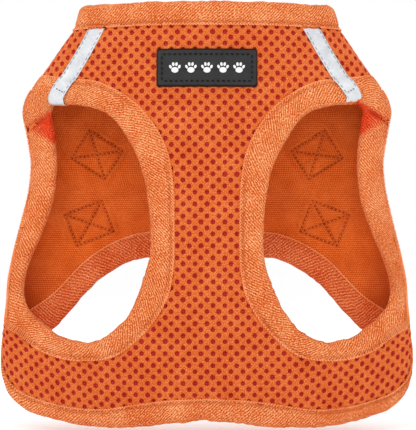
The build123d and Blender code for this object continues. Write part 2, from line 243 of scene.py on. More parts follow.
# ---- mesh building
def make(name, verts, faces, material, uv=None, face_materials=None, painted_shade_layers=None):
    """An object from points in millimetres. uv holds one pair for each vertex."""
    mesh = bpy.data.meshes.new(name)
    mesh.from_pydata((np.asarray(verts) * MM).tolist(), [], faces)
    for m in material if isinstance(material, (list, tuple)) else [material]:
        mesh.materials.append(m)
    if face_materials is not None:
        mesh.polygons.foreach_set("material_index", np.asarray(face_materials, np.int32))
    if uv is not None:
        layer = mesh.uv_layers.new(name="UVMap")
        index = np.zeros(len(mesh.loops), np.int32)
        mesh.loops.foreach_get("vertex_index", index)
        layer.data.foreach_set("uv", np.asarray(uv, np.float32)[index].ravel())
    for key, values in (painted_shade_layers or {}).items():
        mesh.attributes.new(key, "FLOAT", "POINT").data.foreach_set("value", np.asarray(values, np.float32).ravel())
    mesh.shade_smooth()
    mesh.update()
    obj = bpy.data.objects.new(name, mesh)
    bpy.context.scene.collection.objects.link(obj)
    return obj


def noise1(x, seed, scale):
    """Smooth noise along a line, about -1 to 1."""
    r = np.random.default_rng(seed)
    table = r.uniform(-1, 1, 4096)
    u = np.asarray(x) / scale
    i = np.floor(u).astype(int)
    t = u - i
    t = t * t * (3 - 2 * t)
    return table[i % 4096] * (1 - t) + table[(i + 1) % 4096] * t


def noise2(x, y, seed, scale):
    """Smooth noise over a plane, about -1 to 1."""
    r = np.random.default_rng(seed)
    table = r.uniform(-1, 1, (128, 128))
    u, v = np.asarray(x) / scale, np.asarray(y) / scale
    i, j = np.floor(u).astype(int), np.floor(v).astype(int)
    a, b = u - i, v - j
    a, b = a * a * (3 - 2 * a), b * b * (3 - 2 * b)
    top = table[i % 128, j % 128] * (1 - a) + table[(i + 1) % 128, j % 128] * a
    low = table[i % 128, (j + 1) % 128] * (1 - a) + table[(i + 1) % 128, (j + 1) % 128] * a
    return top * (1 - b) + low * b


# ---- materials
def srgb(r, g, b):
    return tuple((c / 255 / 12.92 if c <= 10 else ((c / 255 + 0.055) / 1.055) ** 2.4) for c in (r, g, b)) + (1.0,)


class Graph:
    """A material's nodes, with one call for each node."""

    def __init__(self, name, rough, **sockets):
        self.material = bpy.data.materials.new(name)
        self.material.use_nodes = True
        self.tree = self.material.node_tree
        self.shader = self.tree.nodes["Principled BSDF"]
        self.shader.inputs["Roughness"].default_value = rough
        for key, value in sockets.items():
            self.shader.inputs[key.replace("_", " ")].default_value = value

    def node(self, kind, settings=None, **inputs):
        n = self.tree.nodes.new("ShaderNode" + kind)
        for key, value in (settings or {}).items():
            setattr(n, key, value)
        for key, value in inputs.items():
            key = int(key[1:]) if key[0] == "i" and key[1:].isdigit() else key.replace("_", " ")
            self.put(n.inputs[key], value)
        return n

    def put(self, socket, value):
        if isinstance(value, bpy.types.NodeSocket):
            self.tree.links.new(value, socket)
        else:
            socket.default_value = value

    def math(self, operation, a, b):
        return self.node("Math", {"operation": operation}, i0=a, i1=b).outputs[0]

    def add(self, a, b):
        return self.math("ADD", a, b)

    def times(self, a, b):
        return self.math("MULTIPLY", a, b)

    def minus(self, a, b):
        return self.math("SUBTRACT", a, b)

    def place(self):
        return self.node("TexCoord").outputs["Object"]

    def attribute(self, name):
        return self.node("Attribute", {"attribute_name": name}).outputs["Fac"]

    def mix(self, factor, a, b):
        return self.node("Mix", {"data_type": "RGBA", "blend_type": "MIX"}, i0=factor, i6=a, i7=b).outputs[2]

    def weighted(self, a, share_a, b, share_b):
        return self.add(self.times(a, share_a), self.times(b, share_b))

    def uv(self):
        return self.node("UVMap").outputs[0]

    def scaled(self, vector, x=1, y=1, z=1, turn=0.0):
        return self.node("Mapping", Vector=vector, Scale=(x, y, z), Rotation=(0, 0, math.radians(turn))).outputs[0]

    def noise(self, vector, scale, detail=3.0, rough=0.6):
        return self.node("TexNoise", Vector=vector, Scale=scale, Detail=detail, Roughness=rough).outputs[0]

    def wave(self, vector, scale, distortion=0.0, direction="X", detail_scale=1.0):
        settings = {"bands_direction": direction, "wave_profile": "SIN"}
        return self.node("TexWave", settings, Vector=vector, Scale=scale, Distortion=distortion,
                         Detail_Scale=detail_scale, Detail=1.0).outputs[1]

    def ramp(self, value, *stops):
        n = self.node("ValToRGB", Fac=value)
        ramp = n.color_ramp
        while len(ramp.elements) < len(stops):
            ramp.elements.new(0.5)
        for e, (at, colour) in zip(ramp.elements, stops):
            e.position, e.color = at, colour
        return n.outputs[0]

    def bump(self, height, strength, distance):
        return self.node("Bump", Height=height, Strength=strength, Distance=distance * MM).outputs[0]

    def done(self, colour, normal=None, rough=None):
        for socket, value in (("Base Color", colour), ("Normal", normal), ("Roughness", rough)):
            if value is not None:
                self.put(self.shader.inputs[socket], value)
        return self.material


def cloth(name, shades, weave, strength, depth, rough=0.85, sheen=0.25, blotch=1.0, tint=(1, 1, 1, 1),
          spread=0.32, shaded=False):
    """A textile. weave(graph, uv) gives the yarn height over the surface, in UV units of millimetres."""
    dark, mid, light = (srgb(*shade) for shade in shades)
    g = Graph(name, rough, Sheen_Weight=sheen, Sheen_Roughness=0.45, Sheen_Tint=tint, Specular_IOR_Level=0.1)
    uv = g.uv()
    place = g.place()
    height = weave(g, uv)
    patches = g.noise(place, 90.0, 3.0)
    fuzz = g.noise(place, 2600.0, 2.0, 0.7)
    tone = g.weighted(height, 0.62, fuzz, 0.38)
    tone = g.add(tone, g.times(g.minus(patches, 0.5), 0.5 * blotch))
    colour = g.ramp(tone, (0.5 - spread, dark), (0.5, mid), (0.5 + spread, light))
    if shaded:
        shade, painted_red_shade = g.attribute("shade"), g.attribute("painted_red_shade")
        # Painted shade: a deep red ramp mixed in for the shadow in the shoulder's crease and on shaded inner faces.
        crease_shaded = g.ramp(tone, (0.5 - spread, srgb(150, 6, 2)), (0.5, srgb(226, 38, 10)),
                         (0.5 + spread, srgb(244, 104, 48)))
        colour = g.mix(painted_red_shade, colour, crease_shaded)
        # Painted shade: a dark red mixed in where the shade attribute is set.
        colour = g.mix(shade, colour, srgb(140, 42, 12))
    return g.done(colour, g.bump(g.add(height, g.times(fuzz, 0.35)), strength, depth))


def twill(g, uv):
    """Diagonal ribs of the binding tape, broken up by the yarns that make them."""
    turned = g.scaled(uv, turn=-46)
    ribs = g.wave(turned, 0.27, 2.6, "X", 0.8)
    worn = g.noise(g.scaled(uv, 0.35, 0.35), 1.0, 2.0)
    flecks = g.noise(g.scaled(turned, 1.35, 0.85), 1.2, 2.0, 0.75)
    ribs = g.times(g.minus(ribs, 0.5), g.add(g.times(worn, 0.55), 0.06))
    return g.add(ribs, g.add(g.times(g.minus(flecks, 0.5), 1.95), 0.5))


def knit(g, uv):
    """Fine loops of a plain knit."""
    a = g.wave(g.scaled(uv), 0.34, 1.6, "X", 0.7)
    b = g.wave(g.scaled(uv), 0.30, 1.6, "Y", 0.7)
    speck = g.noise(g.scaled(uv), 1.2, 3.0, 0.75)
    grid = g.times(g.add(a, 0.25), g.add(b, 0.25))
    return g.weighted(grid, 0.4, speck, 0.62)


def spacer_knit(g, uv):
    """The yarns between the holes of the air mesh."""
    a = g.wave(g.scaled(uv, turn=45), 0.26, 3.4, "X", 0.9)
    b = g.wave(g.scaled(uv, turn=-45), 0.26, 3.4, "X", 0.9)
    speck = g.noise(g.scaled(uv, 1.2, 0.9), 1.6, 3.0, 0.8)
    return g.add(g.weighted(a, 0.06, b, 0.06), g.add(g.times(g.minus(speck, 0.5), 1.9), 0.44))


def strap_weave(g, uv):
    """Flat webbing: lengthwise cords crossed by picks."""
    a = g.wave(g.scaled(uv), 0.28, 0.3, "Y")
    b = g.wave(g.scaled(uv), 0.42, 0.3, "X")
    return g.weighted(a, 0.6, b, 0.4)


def pile(g, uv):
    """The tangle of loops or hooks on a closure strip."""
    return g.noise(g.scaled(uv), 1.6, 4.0, 0.75)


def thread(name, shades, sheen, strength=0.3, depth=0.05):
    return cloth(name, shades, knit, strength, depth, sheen=sheen)


MESH_TOP = cloth("mesh_knit", ((188, 68, 20), (222, 101, 41), (240, 154, 88)), spacer_knit, 0.8, 0.22, spread=0.2,
                 blotch=0.4, sheen=0.08)
# Painted shade: the holes' walls and floors are coloured dark red for the shadow inside them.
MESH_PIT_SHADE = thread("mesh_pit_shade", ((140, 22, 20), (186, 42, 32), (208, 80, 66)), 0.05, 0.4, 0.1)
TAPE = cloth("binding_twill", ((190, 64, 14), (230, 114, 50), (254, 192, 138)), twill, 1.0, 0.34, spread=0.21,
             blotch=0.6, shaded=True, sheen=0.04, tint=(1.0, 0.6, 0.4, 1))
LINING = cloth("lining_knit", ((172, 58, 8), (214, 88, 20), (242, 132, 64)), knit, 0.8, 0.2, blotch=0.6, spread=0.2,
               sheen=0.04, shaded=True)
SEAM = thread("seam_thread", ((176, 66, 14), (214, 92, 26), (240, 134, 66)), 0.04)
TAPE_SEAM = thread("tape_thread", ((190, 74, 24), (224, 106, 44), (244, 150, 90)), 0.04)
WEBBING = cloth("webbing_weave", ((12, 12, 13), (26, 26, 28), (48, 48, 52)), strap_weave, 0.8, 0.25, rough=0.7,
                sheen=0.15)
FASTENER = cloth("closure_pile", ((8, 8, 9), (22, 22, 24), (46, 46, 50)), pile, 0.9, 0.4, sheen=0.3)
BLACK_THREAD = thread("black_thread", ((10, 10, 10), (20, 20, 21), (44, 44, 46)), 0.05)
GREY_THREAD = thread("grey_thread", ((120, 120, 122), (152, 152, 154), (176, 176, 178)), 0.05)
# Painted highlight: the rolled bead is coloured paler than the binding tape, for the light on its roll.
RIM = thread("rolled_edge_highlight", ((200, 84, 30), (238, 130, 66), (255, 190, 140)), 0.02, 0.5, 0.08)
# Painted shade: dark marks standing for the shadow inside the needle holes.
NEEDLE_HOLE_SHADE = thread("needle_hole_shade", ((120, 34, 6), (156, 50, 12), (190, 76, 24)), 0.02)


def reflective_material():
    g = Graph("reflective_tape", 0.42, Metallic=0.25, Specular_IOR_Level=0.5)
    uv = g.uv()
    place = g.place()
    cells = g.node("TexVoronoi", {"feature": "DISTANCE_TO_EDGE"}, Vector=uv, Scale=1.5).outputs[0]
    fold = g.noise(place, 160.0, 3.0)
    tone = g.weighted(cells, 0.6, fold, 0.7)
    colour = g.ramp(tone, (0.2, srgb(188, 191, 196)), (0.5, srgb(217, 219, 222)), (0.8, srgb(238, 239, 240)))
    height = g.weighted(cells, 0.5, fold, 1.0)
    return g.done(colour, g.bump(height, 0.25, 0.15))


def moulded(name, dark, light, rough, depth, grain=2400.0, **sockets):
    """A moulded plastic or rubber with a fine sparked grain and faint scuffs."""
    g = Graph(name, rough, **sockets)
    place = g.place()
    fine = g.noise(place, grain, 3.0, 0.65)
    broad = g.noise(place, grain / 14, 2.0)
    tone = g.weighted(fine, 0.5, broad, 0.5)
    colour = g.ramp(tone, (0.3, srgb(*dark)), (0.7, srgb(*light)))
    scuffed = g.node("MapRange", Value=broad, From_Min=0.3, From_Max=0.75, To_Min=rough - 0.07, To_Max=rough + 0.1)
    return g.done(colour, g.bump(fine, 0.35, depth), scuffed.outputs[0])


RUBBER = moulded("patch_rubber", (30, 30, 31), (52, 52, 53), 0.6, 0.06, Specular_IOR_Level=0.25)
# Painted shade: a darker copy of the patch rubber for the label's side walls and bevel.
RUBBER_SIDE_SHADE = moulded("patch_rubber_side_shade", (6, 7, 8), (14, 15, 16), 0.4, 0.04, Specular_IOR_Level=0.3)
WHITE_RUBBER = moulded("emblem_rubber", (224, 224, 224), (244, 244, 244), 0.5, 0.03)
PLASTIC = moulded("buckle_acetal", (14, 14, 15), (28, 28, 30), 0.38, 0.05, 1800.0)


def steel_material():
    g = Graph("plated_wire", 0.26, Metallic=1.0)
    place = g.place()
    brushed = g.noise(g.scaled(place, z=9), 700.0, 4.0, 0.7)
    spots = g.noise(place, 220.0, 3.0)
    colour = g.ramp(spots, (0.3, srgb(172, 174, 178)), (0.7, srgb(206, 208, 211)))
    rough = g.node("MapRange", Value=brushed, From_Min=0.3, From_Max=0.7, To_Min=0.18, To_Max=0.36)
    return g.done(colour, g.bump(brushed, 0.2, 0.03), rough.outputs[0])


STEEL = steel_material()
RETRO = reflective_material()


# ---- camera and studio
def studio():
    scene = bpy.context.scene
    scene.view_settings.view_transform = "Standard"
    distance, view_height, eye = 1.15, 0.2155, 0.1067
    camera = bpy.data.objects.new("camera", bpy.data.cameras.new("camera"))
    camera.data.sensor_width = 36.0
    camera.data.lens = 36.0 * distance / view_height
    camera.location = (0.0005, -distance, eye)
    camera.rotation_euler = (math.radians(90), 0, 0)
    scene.collection.objects.link(camera)
    scene.camera = camera
    world = bpy.data.worlds.new("studio")
    world.use_nodes = True
    world.node_tree.nodes["Background"].inputs[0].default_value = (1, 1, 1, 1)
    world.node_tree.nodes["Background"].inputs[1].default_value = 1.0
    scene.world = world
    for name, place, size, watts in (("key", (-0.55, -0.9, 0.95), 0.7, 3.2), ("fill", (0.8, -0.8, 0.35), 0.9, 1.0),
                                     ("back", (0.2, 1.0, 0.9), 0.9, 3.0)):
        light = bpy.data.objects.new(name, bpy.data.lights.new(name, "AREA"))
        light.data.energy, light.data.size = watts, size
        light.location = place
        aim = Vector((0, 0, 0.1)) - Vector(place)
        light.rotation_euler = aim.to_track_quat("-Z", "Y").to_euler()
        scene.collection.objects.link(light)
    floor_mesh = bpy.data.meshes.new("floor")
    half = 4.0
    floor_mesh.from_pydata([(-half, -half, 0), (half, -half, 0), (half, half, 0), (-half, half, 0)], [], [(0, 1, 2, 3)])
    g = Graph("floor_paper", 0.9)
    grain = g.noise(g.place(), 40.0, 2.0)
    floor_mesh.materials.append(g.done(g.ramp(grain, (0.3, (0.97, 0.97, 0.97, 1)), (0.7, (1, 1, 1, 1)))))
    floor = bpy.data.objects.new("floor", floor_mesh)
    floor.location = (0, 0, -0.0015)
    scene.collection.objects.link(floor)


studio()


# ---- cloth sheets and bound edges
PITCH = 2.95  # half the spacing of the air mesh's holes along a row, and the spacing of its rows
RING_R, RING_N = (1.27, 1.11, 0.91), (0.02, -0.42, -0.95)  # radius and height of each ring round a hole
HOLE_TALL = 1.04  # height over width of a hole
EIGHTHS = [k * math.pi / 4 for k in range(8)]


def row_lift(u, v):
    """How the mesh's rows rise toward the sides of the lower band, where the cloth was cut on a curve."""
    side = np.clip((np.abs(u) - 42) / 70, 0, 1.2) ** 1.5
    low = 1 - np.clip((v - 30) / 60, 0, 1)
    return 15.0 * side * low


def body_sag(s, z):
    """Soft unevenness of the cloth."""
    return 0.55 * noise2(s + 300, z + 300, 11, 26.0) + 0.18 * noise2(s + 300, z + 300, 12, 9.0)


def air_mesh(name, keep, s_range, z_range):
    """Spacer mesh with a hole in each cell of a diamond lattice."""
    verts, key_of, faces, kinds = [], {}, [], []

    def point(a, b, n):
        verts.append((a, b, n))
        return len(verts) - 1

    def shared(ka, kb, n):
        if (ka, kb) not in key_of:
            key_of[ka, kb] = point(ka * PITCH / 2, kb * PITCH / 2, n)
        return key_of[ka, kb]

    i0, i1 = int(s_range[0] / PITCH) - 1, int(s_range[1] / PITCH) + 2
    j0, j1 = int(z_range[0] / PITCH) - 3, int(z_range[1] / PITCH) + 2
    ii, jj = np.meshgrid(np.arange(i0, i1), np.arange(j0, j1), indexing="ij")
    good = (ii + jj) % 2 == 0
    u, v = ii[good] * PITCH, jj[good] * PITCH
    ok = keep(u, v + row_lift(u, v))
    cells = np.stack([ii[good], jj[good]], -1)[ok]
    jitter = np.random.default_rng(5).normal(0, 0.055, (len(cells), 4))
    around = [(2, 0), (1, 1), (0, 2), (-1, 1), (-2, 0), (-1, -1), (0, -2), (1, -1)]
    for (i, j), (dr, dx, dy, dd) in zip(cells, jitter):
        i, j = int(i), int(j)
        rim = [shared(2 * i + a, 2 * j + b, 0.34 if a * b == 0 else 0.2) for a, b in around]
        rings = [rim]
        for r, n in zip(RING_R, RING_N):
            r = r + dr
            rings.append([point(i * PITCH + dx + r * math.cos(t), j * PITCH + dy + r * HOLE_TALL * math.sin(t), n + dd)
                          for t in EIGHTHS])
        for level, (outer, inner) in enumerate(zip(rings, rings[1:])):
            for k in range(8):
                faces.append((outer[k], outer[(k + 1) % 8], inner[(k + 1) % 8], inner[k]))
                # The walls and floor of each hole take the painted-shade colour.
                kinds.append(0 if level < 1 else 1)
        faces.append(tuple(rings[-1]))
        kinds.append(1)
    verts = np.array(verts)
    s, v = verts[:, 0], verts[:, 1]
    z = v + row_lift(s, v)
    co = surf(s, z, verts[:, 2] + body_sag(s, z) * 0.5)
    return make(name, co, faces, [MESH_TOP, MESH_PIT_SHADE], uv=np.stack([s, v], -1), face_materials=kinds)


def plain_cloth(name, keep, s_range, z_range, pitch, n, material, relief=None, shade=None):
    """A sheet on the tube's inner face, looking inward."""
    sa = np.arange(s_range[0], s_range[1] + pitch, pitch)
    za = np.arange(z_range[0], z_range[1] + pitch, pitch)
    s, z = np.meshgrid(sa, za, indexing="ij")
    ok = keep(s, z)
    quad = ok[:-1, :-1] & ok[1:, :-1] & ok[:-1, 1:] & ok[1:, 1:]
    used = np.zeros(s.shape, bool)
    for a, b in ((0, 0), (1, 0), (0, 1), (1, 1)):
        used[a:a + quad.shape[0], b:b + quad.shape[1]] |= quad
    index = np.full(s.shape, -1)
    index[used] = np.arange(used.sum())
    s1, z1 = s[used], z[used]
    lift = n + body_sag(s1, z1) * 0.5
    if relief is not None:
        lift = lift + relief(s1, z1)
    i, j = np.nonzero(quad)
    faces = np.stack([index[i, j], index[i, j + 1], index[i + 1, j + 1], index[i + 1, j]], -1).tolist()
    # The shade function gives painted shade for each point.
    painted_shade_layers = {"shade": shade(s1, z1)} if shade is not None else None
    return make(name, surf(s1, z1, lift), faces, material, uv=np.stack([s1, z1], -1), painted_shade_layers=painted_shade_layers)


def tape_profile(width, outward, inward):
    """(distance from the free edge, height, crown share) round a folded tape, sewn edge to sewn edge."""
    r = (outward - inward) / 2
    mid = (outward + inward) / 2
    outer = [(width, outward - 1.0, 0), (width - 0.05, outward - 0.3, 0), (width - 0.45, outward, 0)]
    for t in np.linspace(0.93, 0.0, 10)[:-1]:
        outer.append((r + (width - r) * t, outward, 1))
    bend = [(r - r * math.sin(a), mid + r * math.cos(a), 1) for a in np.linspace(0, math.pi, 9)]
    inner = [(r + (width - r) * t, inward, 1) for t in np.linspace(0.0, 0.93, 8)[1:]]
    inner += [(width - 0.45, inward, 0), (width - 0.05, inward + 0.3, 0), (width, inward + 1.0, 0)]
    return outer + bend + inner


RIGHT_RAISE = 4.0  # how much higher the right crease is
CREASE_X, CREASE_Z, CREASE_RISE = 92.0, 149.2, 0.6  # where the tape folds over itself at the shoulder


def crease(points):
    """Where points lie on the side, and how far each is above the shoulder's crease."""
    x, z = np.abs(points[:, 0]), points[:, 2] - RIGHT_RAISE * (points[:, 0] > 0)
    return x, z, (z - CREASE_Z - (CREASE_X - x) * CREASE_RISE) / math.hypot(1, CREASE_RISE)


def crumple(points):
    """How the leg tape bunches up at the shoulder: a crease with a roll of tape above it."""
    x, _, d = crease(points)
    across = np.clip((x - 79) / 4, 0, 1) * (1 - 0.6 * np.clip((x - 88) / 4, 0, 1))
    facing = np.clip((FOLD_Y + 4 - points[:, 1]) / 4, 0, 1)
    return facing * across * (-2.7 * np.exp(-(d / 1.2) ** 2) + 1.3 * np.exp(-((d - 4.4) / 2.6) ** 2)
                              - 0.5 * np.exp(-((d + 4.0) / 2.2) ** 2))


def painted_crease_shade(points):
    """Painted red shade: how much of it lies in the shoulder's crease and on the leg tape just below it."""
    x, z, d = crease(points)
    below = np.clip((1.6 - d) / 1.6, 0, 1)
    low = 141.5 + np.clip(x - 77, 0, 20) * 0.55
    inside = below * np.clip((z - low) / 3.0, 0, 1) * np.clip((FOLD_Y - points[:, 1]) / 3, 0, 1)
    toward_edge = 0.55 + 0.55 * np.exp(-((x - 77.0) / 6.5) ** 2)
    lateral = np.clip((x - 73.5) / 2, 0, 1)
    line = 0.85 * np.exp(-(d / 1.2) ** 2) * np.clip((x - 77) / 3, 0, 1)
    return np.clip(inside * toward_edge * lateral + line, 0, 0.95)


def tape(name, rows, closed, side, seed, outward=TAPE_OUT, inward=TAPE_IN, puff=0.55, pucker=1.0, bias=1,
         crease_shaded=False, inner_face_shade=0.0):
    """Binding tape folded round the cloth's edge: rows are (free run, free z, sewn run, sewn z)."""
    a, b = surf(rows[:, 0], rows[:, 1]), surf(rows[:, 2], rows[:, 3])
    width = np.linalg.norm(b - a, axis=1)
    mid = surf(*lerp_rows(rows, 0.5).T)
    step = np.linalg.norm(np.diff(mid, axis=0, append=mid[:1] if closed else mid[-1:]), axis=1)
    run = np.concatenate([[0], np.cumsum(step)[:-1]])
    inner_step = np.linalg.norm(np.diff(a, axis=0, append=a[:1] if closed else a[-1:]), axis=1)
    squeeze = np.clip(1.25 - inner_step / np.maximum(step, 1e-6), 0, 0.8)
    squeeze = np.convolve(np.pad(squeeze, 12, "wrap" if closed else "edge"), np.ones(25) / 25, "valid")
    profiles = np.array([tape_profile(w, outward, inward) for w in width])
    count = profiles.shape[1]
    verts, shade, painted_red_shade = [], [], []
    total = float(run[-1] + step[-1])
    loop = run / total * 2 * math.pi
    fine = noise1(run + 3 * np.sin(loop) if closed else run, seed, 2.3)
    broad = noise1(run, seed + 1, 7.0)
    if closed:
        seam = np.clip(np.minimum(run, total - run) / 12, 0, 1)
        fine, broad = fine * seam, broad * seam
    for k in range(count):
        dist, height, crown = profiles[:, k].T
        t = dist / width
        outside = 1 if k < count / 2 else -1
        dome = np.clip(np.sin(np.pi * np.clip((width - 1.8 - dist) / (width - 1.8), 0, 1)) ** 0.7, 0, 1)
        groove = np.exp(-((width - SEAM_INSET - dist) / 0.55) ** 2)
        skew = np.roll(fine, int(k * 0.6))
        wrinkle = (0.30 * skew * (0.35 + 1.6 * squeeze) + 0.28 * broad) * pucker
        free = np.clip((width - dist - 0.6) / 3, 0, 1)
        n = height + outside * crown * (puff * dome - 0.55 * groove + wrinkle * free)
        if crease_shaded and outside > 0:
            s, z = lerp_rows(rows, t[:, None]).T
            n = n + crown * crumple(surf(side * s, z))
        t = t + (0.42 * skew * (0.3 + squeeze) + 0.32 * broad) * pucker / width * np.clip(1 - dist / 6, 0, 1)
        t = t - (0.28 * noise1(run, seed + 9, 1.5)) * pucker / width * (crown < 0.5)
        s, z = lerp_rows(rows, t[:, None]).T
        verts.append(surf(side * s, z, n + 0.4 * body_sag(side * s, z)))
        # Painted shade on the lips at the sewn edges and in the seam's groove.
        lip = 0.55 if k in (0, count - 1) else (0.4 if k in (1, count - 2) else 0.0)
        shade.append(np.clip(lip + 0.25 * groove * crown, 0, 1))
        # Painted red shade from the shoulder's crease, plus a set amount on the tape's inner face.
        painted_red_shade.append(crease_shaded * painted_crease_shade(verts[-1]) + (inner_face_shade if outside < 0 else 0.0))
    verts = np.stack(verts, 1)
    across = np.cumsum(np.linalg.norm(np.diff(verts, axis=1, prepend=verts[:, :1]), axis=2), axis=1)
    across -= across[:, count // 2][:, None]  # measured from the fold
    uvs = np.stack([np.broadcast_to((bias * run)[:, None], across.shape), across], -1)
    n_run = len(run)
    faces = []
    for i in range(n_run if closed else n_run - 1):
        for k in range(count - 1):
            q = (i * count + k, i * count + k + 1, (i + 1) % n_run * count + k + 1, (i + 1) % n_run * count + k)
            faces.append(q if side > 0 else q[::-1])
    if not closed:
        first, last = tuple(range(count)), tuple((n_run - 1) * count + k for k in range(count))
        faces += [first[::-1] if side > 0 else first, last if side > 0 else last[::-1]]
    painted_shade_layers = {"shade": np.stack(shade, 1), "painted_red_shade": np.stack(painted_red_shade, 1)}
    return make(name, verts.reshape(-1, 3), faces, TAPE, uv=uvs.reshape(-1, 2), painted_shade_layers=painted_shade_layers)


def ring_faces(base, count, levels):
    """Quads between rings of count points each, the first ring starting at base."""
    return [(r + k, r + (k + 1) % count, r + (k + 1) % count + count, r + k + count)
            for r in range(base, base + levels * count, count) for k in range(count)]


def stitch_mesh(name, segments, radius, material):
    """Short round stitches: each segment is (start, end, outward direction)."""
    verts, faces, uvs = [], [], []
    profile = [(0.0, -0.8, 0.55), (0.12, 0.35, 1.0), (0.5, 0.75, 1.0), (0.88, 0.35, 1.0), (1.0, -0.8, 0.55)]
    for p, q, up in segments:
        p, q, up = np.array(p), np.array(q), np.array(up)
        along = q - p
        length = np.linalg.norm(along)
        if length < 1e-6:
            continue
        across = np.cross(along / length, up)
        base = len(verts)
        for t, rise, fat in profile:
            centre = p + along * t + up * (rise * radius)
            for k in range(6):
                c, s = math.cos(k * math.pi / 3), math.sin(k * math.pi / 3)
                verts.append(centre + (across * c + up * s) * radius * fat)
                uvs.append((t * length, k * radius))
        faces += ring_faces(base, 6, 4)
        faces.append(tuple(base + k for k in range(5, -1, -1)))
        faces.append(tuple(base + 24 + k for k in range(6)))
    return make(name, verts, faces, material, uv=uvs)


def run_along(path):
    return np.concatenate([[0], np.cumsum(np.linalg.norm(np.diff(path, axis=0), axis=1))])


def at_run(at, run, path):
    """The points of a path at given runs along it."""
    return np.stack([np.interp(at, run, path[:, k]) for k in range(path.shape[1])], -1)


def row_of_stitches(path, normals, length=2.0, gap=0.8):
    """Stitch segments along a fine path of points, with one outward direction or one for each point."""
    path = np.asarray(path)
    normals, run = np.broadcast_to(normals, path.shape), run_along(path)
    out, at = [], 0.4
    while at + length < run[-1]:
        p, q, n = (at_run(x, run, src) for x, src in ((at, path), (at + length, path), (at + length / 2, normals)))
        out.append((p, q, n / np.linalg.norm(n)))
        at += length + gap
    return out


STRIPE_AXIS = [(-54.7, 201.9), (-57.9, 195.6), (-61.6, 188.6), (-65.4, 182.0), (-69.2, 175.6), (-72.6, 170.4),
               (-74.3, 167.2), (-74.9, 165.2), (-74.95, 164.3)]
STRIPE_WIDE = 7.5
STRIPE_HIDES = 4.4  # how far from the stripe's axis it hides a stitch
STRIPE_SHIFT = (2.0, 3.5)  # how much nearer the middle the right stripe lies, at its foot and its top


ROPE_PITCH, BAR_PITCH, RIM_R = 1.5, 1.1, 0.42  # spacing along the rim and round the sides, and thickness
SEAM_INSET, SEAM_R = 1.7, 0.24  # the tape's seam, from its sewn edge, and its thread


def along_tape(rows, side, closed, offset, n):
    """A line inside a tape's sewn edge by offset, n off the cloth, and its outward directions."""
    width = np.linalg.norm(surf(rows[:, 2], rows[:, 3]) - surf(rows[:, 0], rows[:, 1]), axis=1)
    s, z = lerp_rows(rows, (1 - offset / width)[:, None]).T
    s = side * s
    path = surf(s, z, n)
    up = surf(s, z, n + 1.0) - path
    path = path + up * (0.4 * body_sag(s, z))[:, None]
    if closed:
        path, up = np.vstack([path, path[:1]]), np.vstack([up, up[:1]])
    return path, up


def tape_seam(rows, side, closed, n=TAPE_OUT - 0.35, face=1):
    path, up = along_tape(rows, side, closed, SEAM_INSET, n)
    return row_of_stitches(path, up * face)


STRIPE_SPOTS = at_run(np.linspace(0, len(STRIPE_AXIS) - 1, 80), np.arange(len(STRIPE_AXIS)),
                      np.array(STRIPE_AXIS)).T


def under_stripe(p):
    """Whether a point on the chest is hidden by the reflective stripe."""
    shift = np.interp(p[2], [164, 202], STRIPE_SHIFT) if p[0] > 0 else 0.0
    away = np.min(np.hypot(STRIPE_SPOTS[0] + shift + abs(p[0]), STRIPE_SPOTS[1] - p[2]))
    return p[1] < FOLD_Y and away < STRIPE_HIDES


def edging(rows, side, closed, inside=False, bars=False):
    """The rolled rim along a tape's sewn edge, and the bars of gathered tape round the sides."""
    b = surf(rows[:, 2], rows[:, 3])
    face, base = (-1, TAPE_IN) if inside else (1, TAPE_OUT)
    line = lambda offset, lift: along_tape(rows, side, closed, offset, base + face * lift)
    gathered = np.clip((np.abs(b[:, 0]) - 85) / 8, 0, 1) * np.clip((FOLD_Y + 9.5 - b[:, 1]) / 4, 0, 1) * bars
    if closed:
        gathered = np.append(gathered, gathered[0])
    edge, up = line(0.45, -0.28)
    past, _ = line(-0.25, -0.45)
    run = run_along(edge)
    pick = lambda at, source: at_run(at, run, source)
    out = []
    for k in range(int(run[-1] / ROPE_PITCH)):
        at = (k + 0.5 + 0.12 * float(noise1(k * 1.7, 77, 1.0))) * ROPE_PITCH
        if np.interp(at, run, gathered) < 0.35 and not under_stripe(pick(at, edge)):
            out.append((pick(at - 0.75, edge), pick(at + 0.75, past), pick(at, up) * face))
    lines = [line(0.2, -0.1), line(1.9, 0.12), line(3.5, 0.36), line(5.0, 0.42)]
    for k in range(int(run[-1] / BAR_PITCH)):
        at = (k + 0.5 + 0.2 * float(noise1(k * 1.7, 78, 1.0))) * BAR_PITCH
        share = float(np.interp(at, run, gathered))
        if share > 0.35:
            spots = [pick(at, path) for path, _ in lines]
            count = 3 if share > 0.8 else 2
            for n in range(count):
                end = 0.7 + 0.3 * float(noise1(k * 1.3, 79, 1.0)) if n == count - 1 else 1.0
                out.append((spots[n], spots[n] + (spots[n + 1] - spots[n]) * end, pick(at, lines[n][1]) * face))
    return out


def settle(obj, body, slot, node=None):
    """Attaches a piece to its body and hides the CAD node it stands for; slot is not used."""
    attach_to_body(obj, body)
    describe(node)


def describe(node=None):
    if node:
        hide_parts(node)


def bend_with_flap(obj, side, slot, node=None):
    """Bakes a piece's placement into its mesh and hides the CAD node it stands for."""
    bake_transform(obj)
    describe(node)


def part_rows(rows, low, high):
    """The rows of an open band whose free edge's run is between two limits."""
    return rows[(rows[:, 0] >= low - 1e-6) & (rows[:, 0] <= high + 1e-6)]


def reversed_mirror(rows):
    """A right-hand run of rows continued through the middle to the left."""
    left = rows[::-1].copy()
    left[:, [0, 2]] *= -1
    return np.vstack([left[:-1], rows])


THREAD_SLOT = {SEAM: "orange_thread", TAPE_SEAM: "orange_thread", NEEDLE_HOLE_SHADE: "orange_thread",
               BLACK_THREAD: "thread", GREY_THREAD: "thread", RIM: "binding"}
TO_FRONT, TO_BACK = (0.0, -1.0, 0.0), (0.0, 1.0, 0.0)


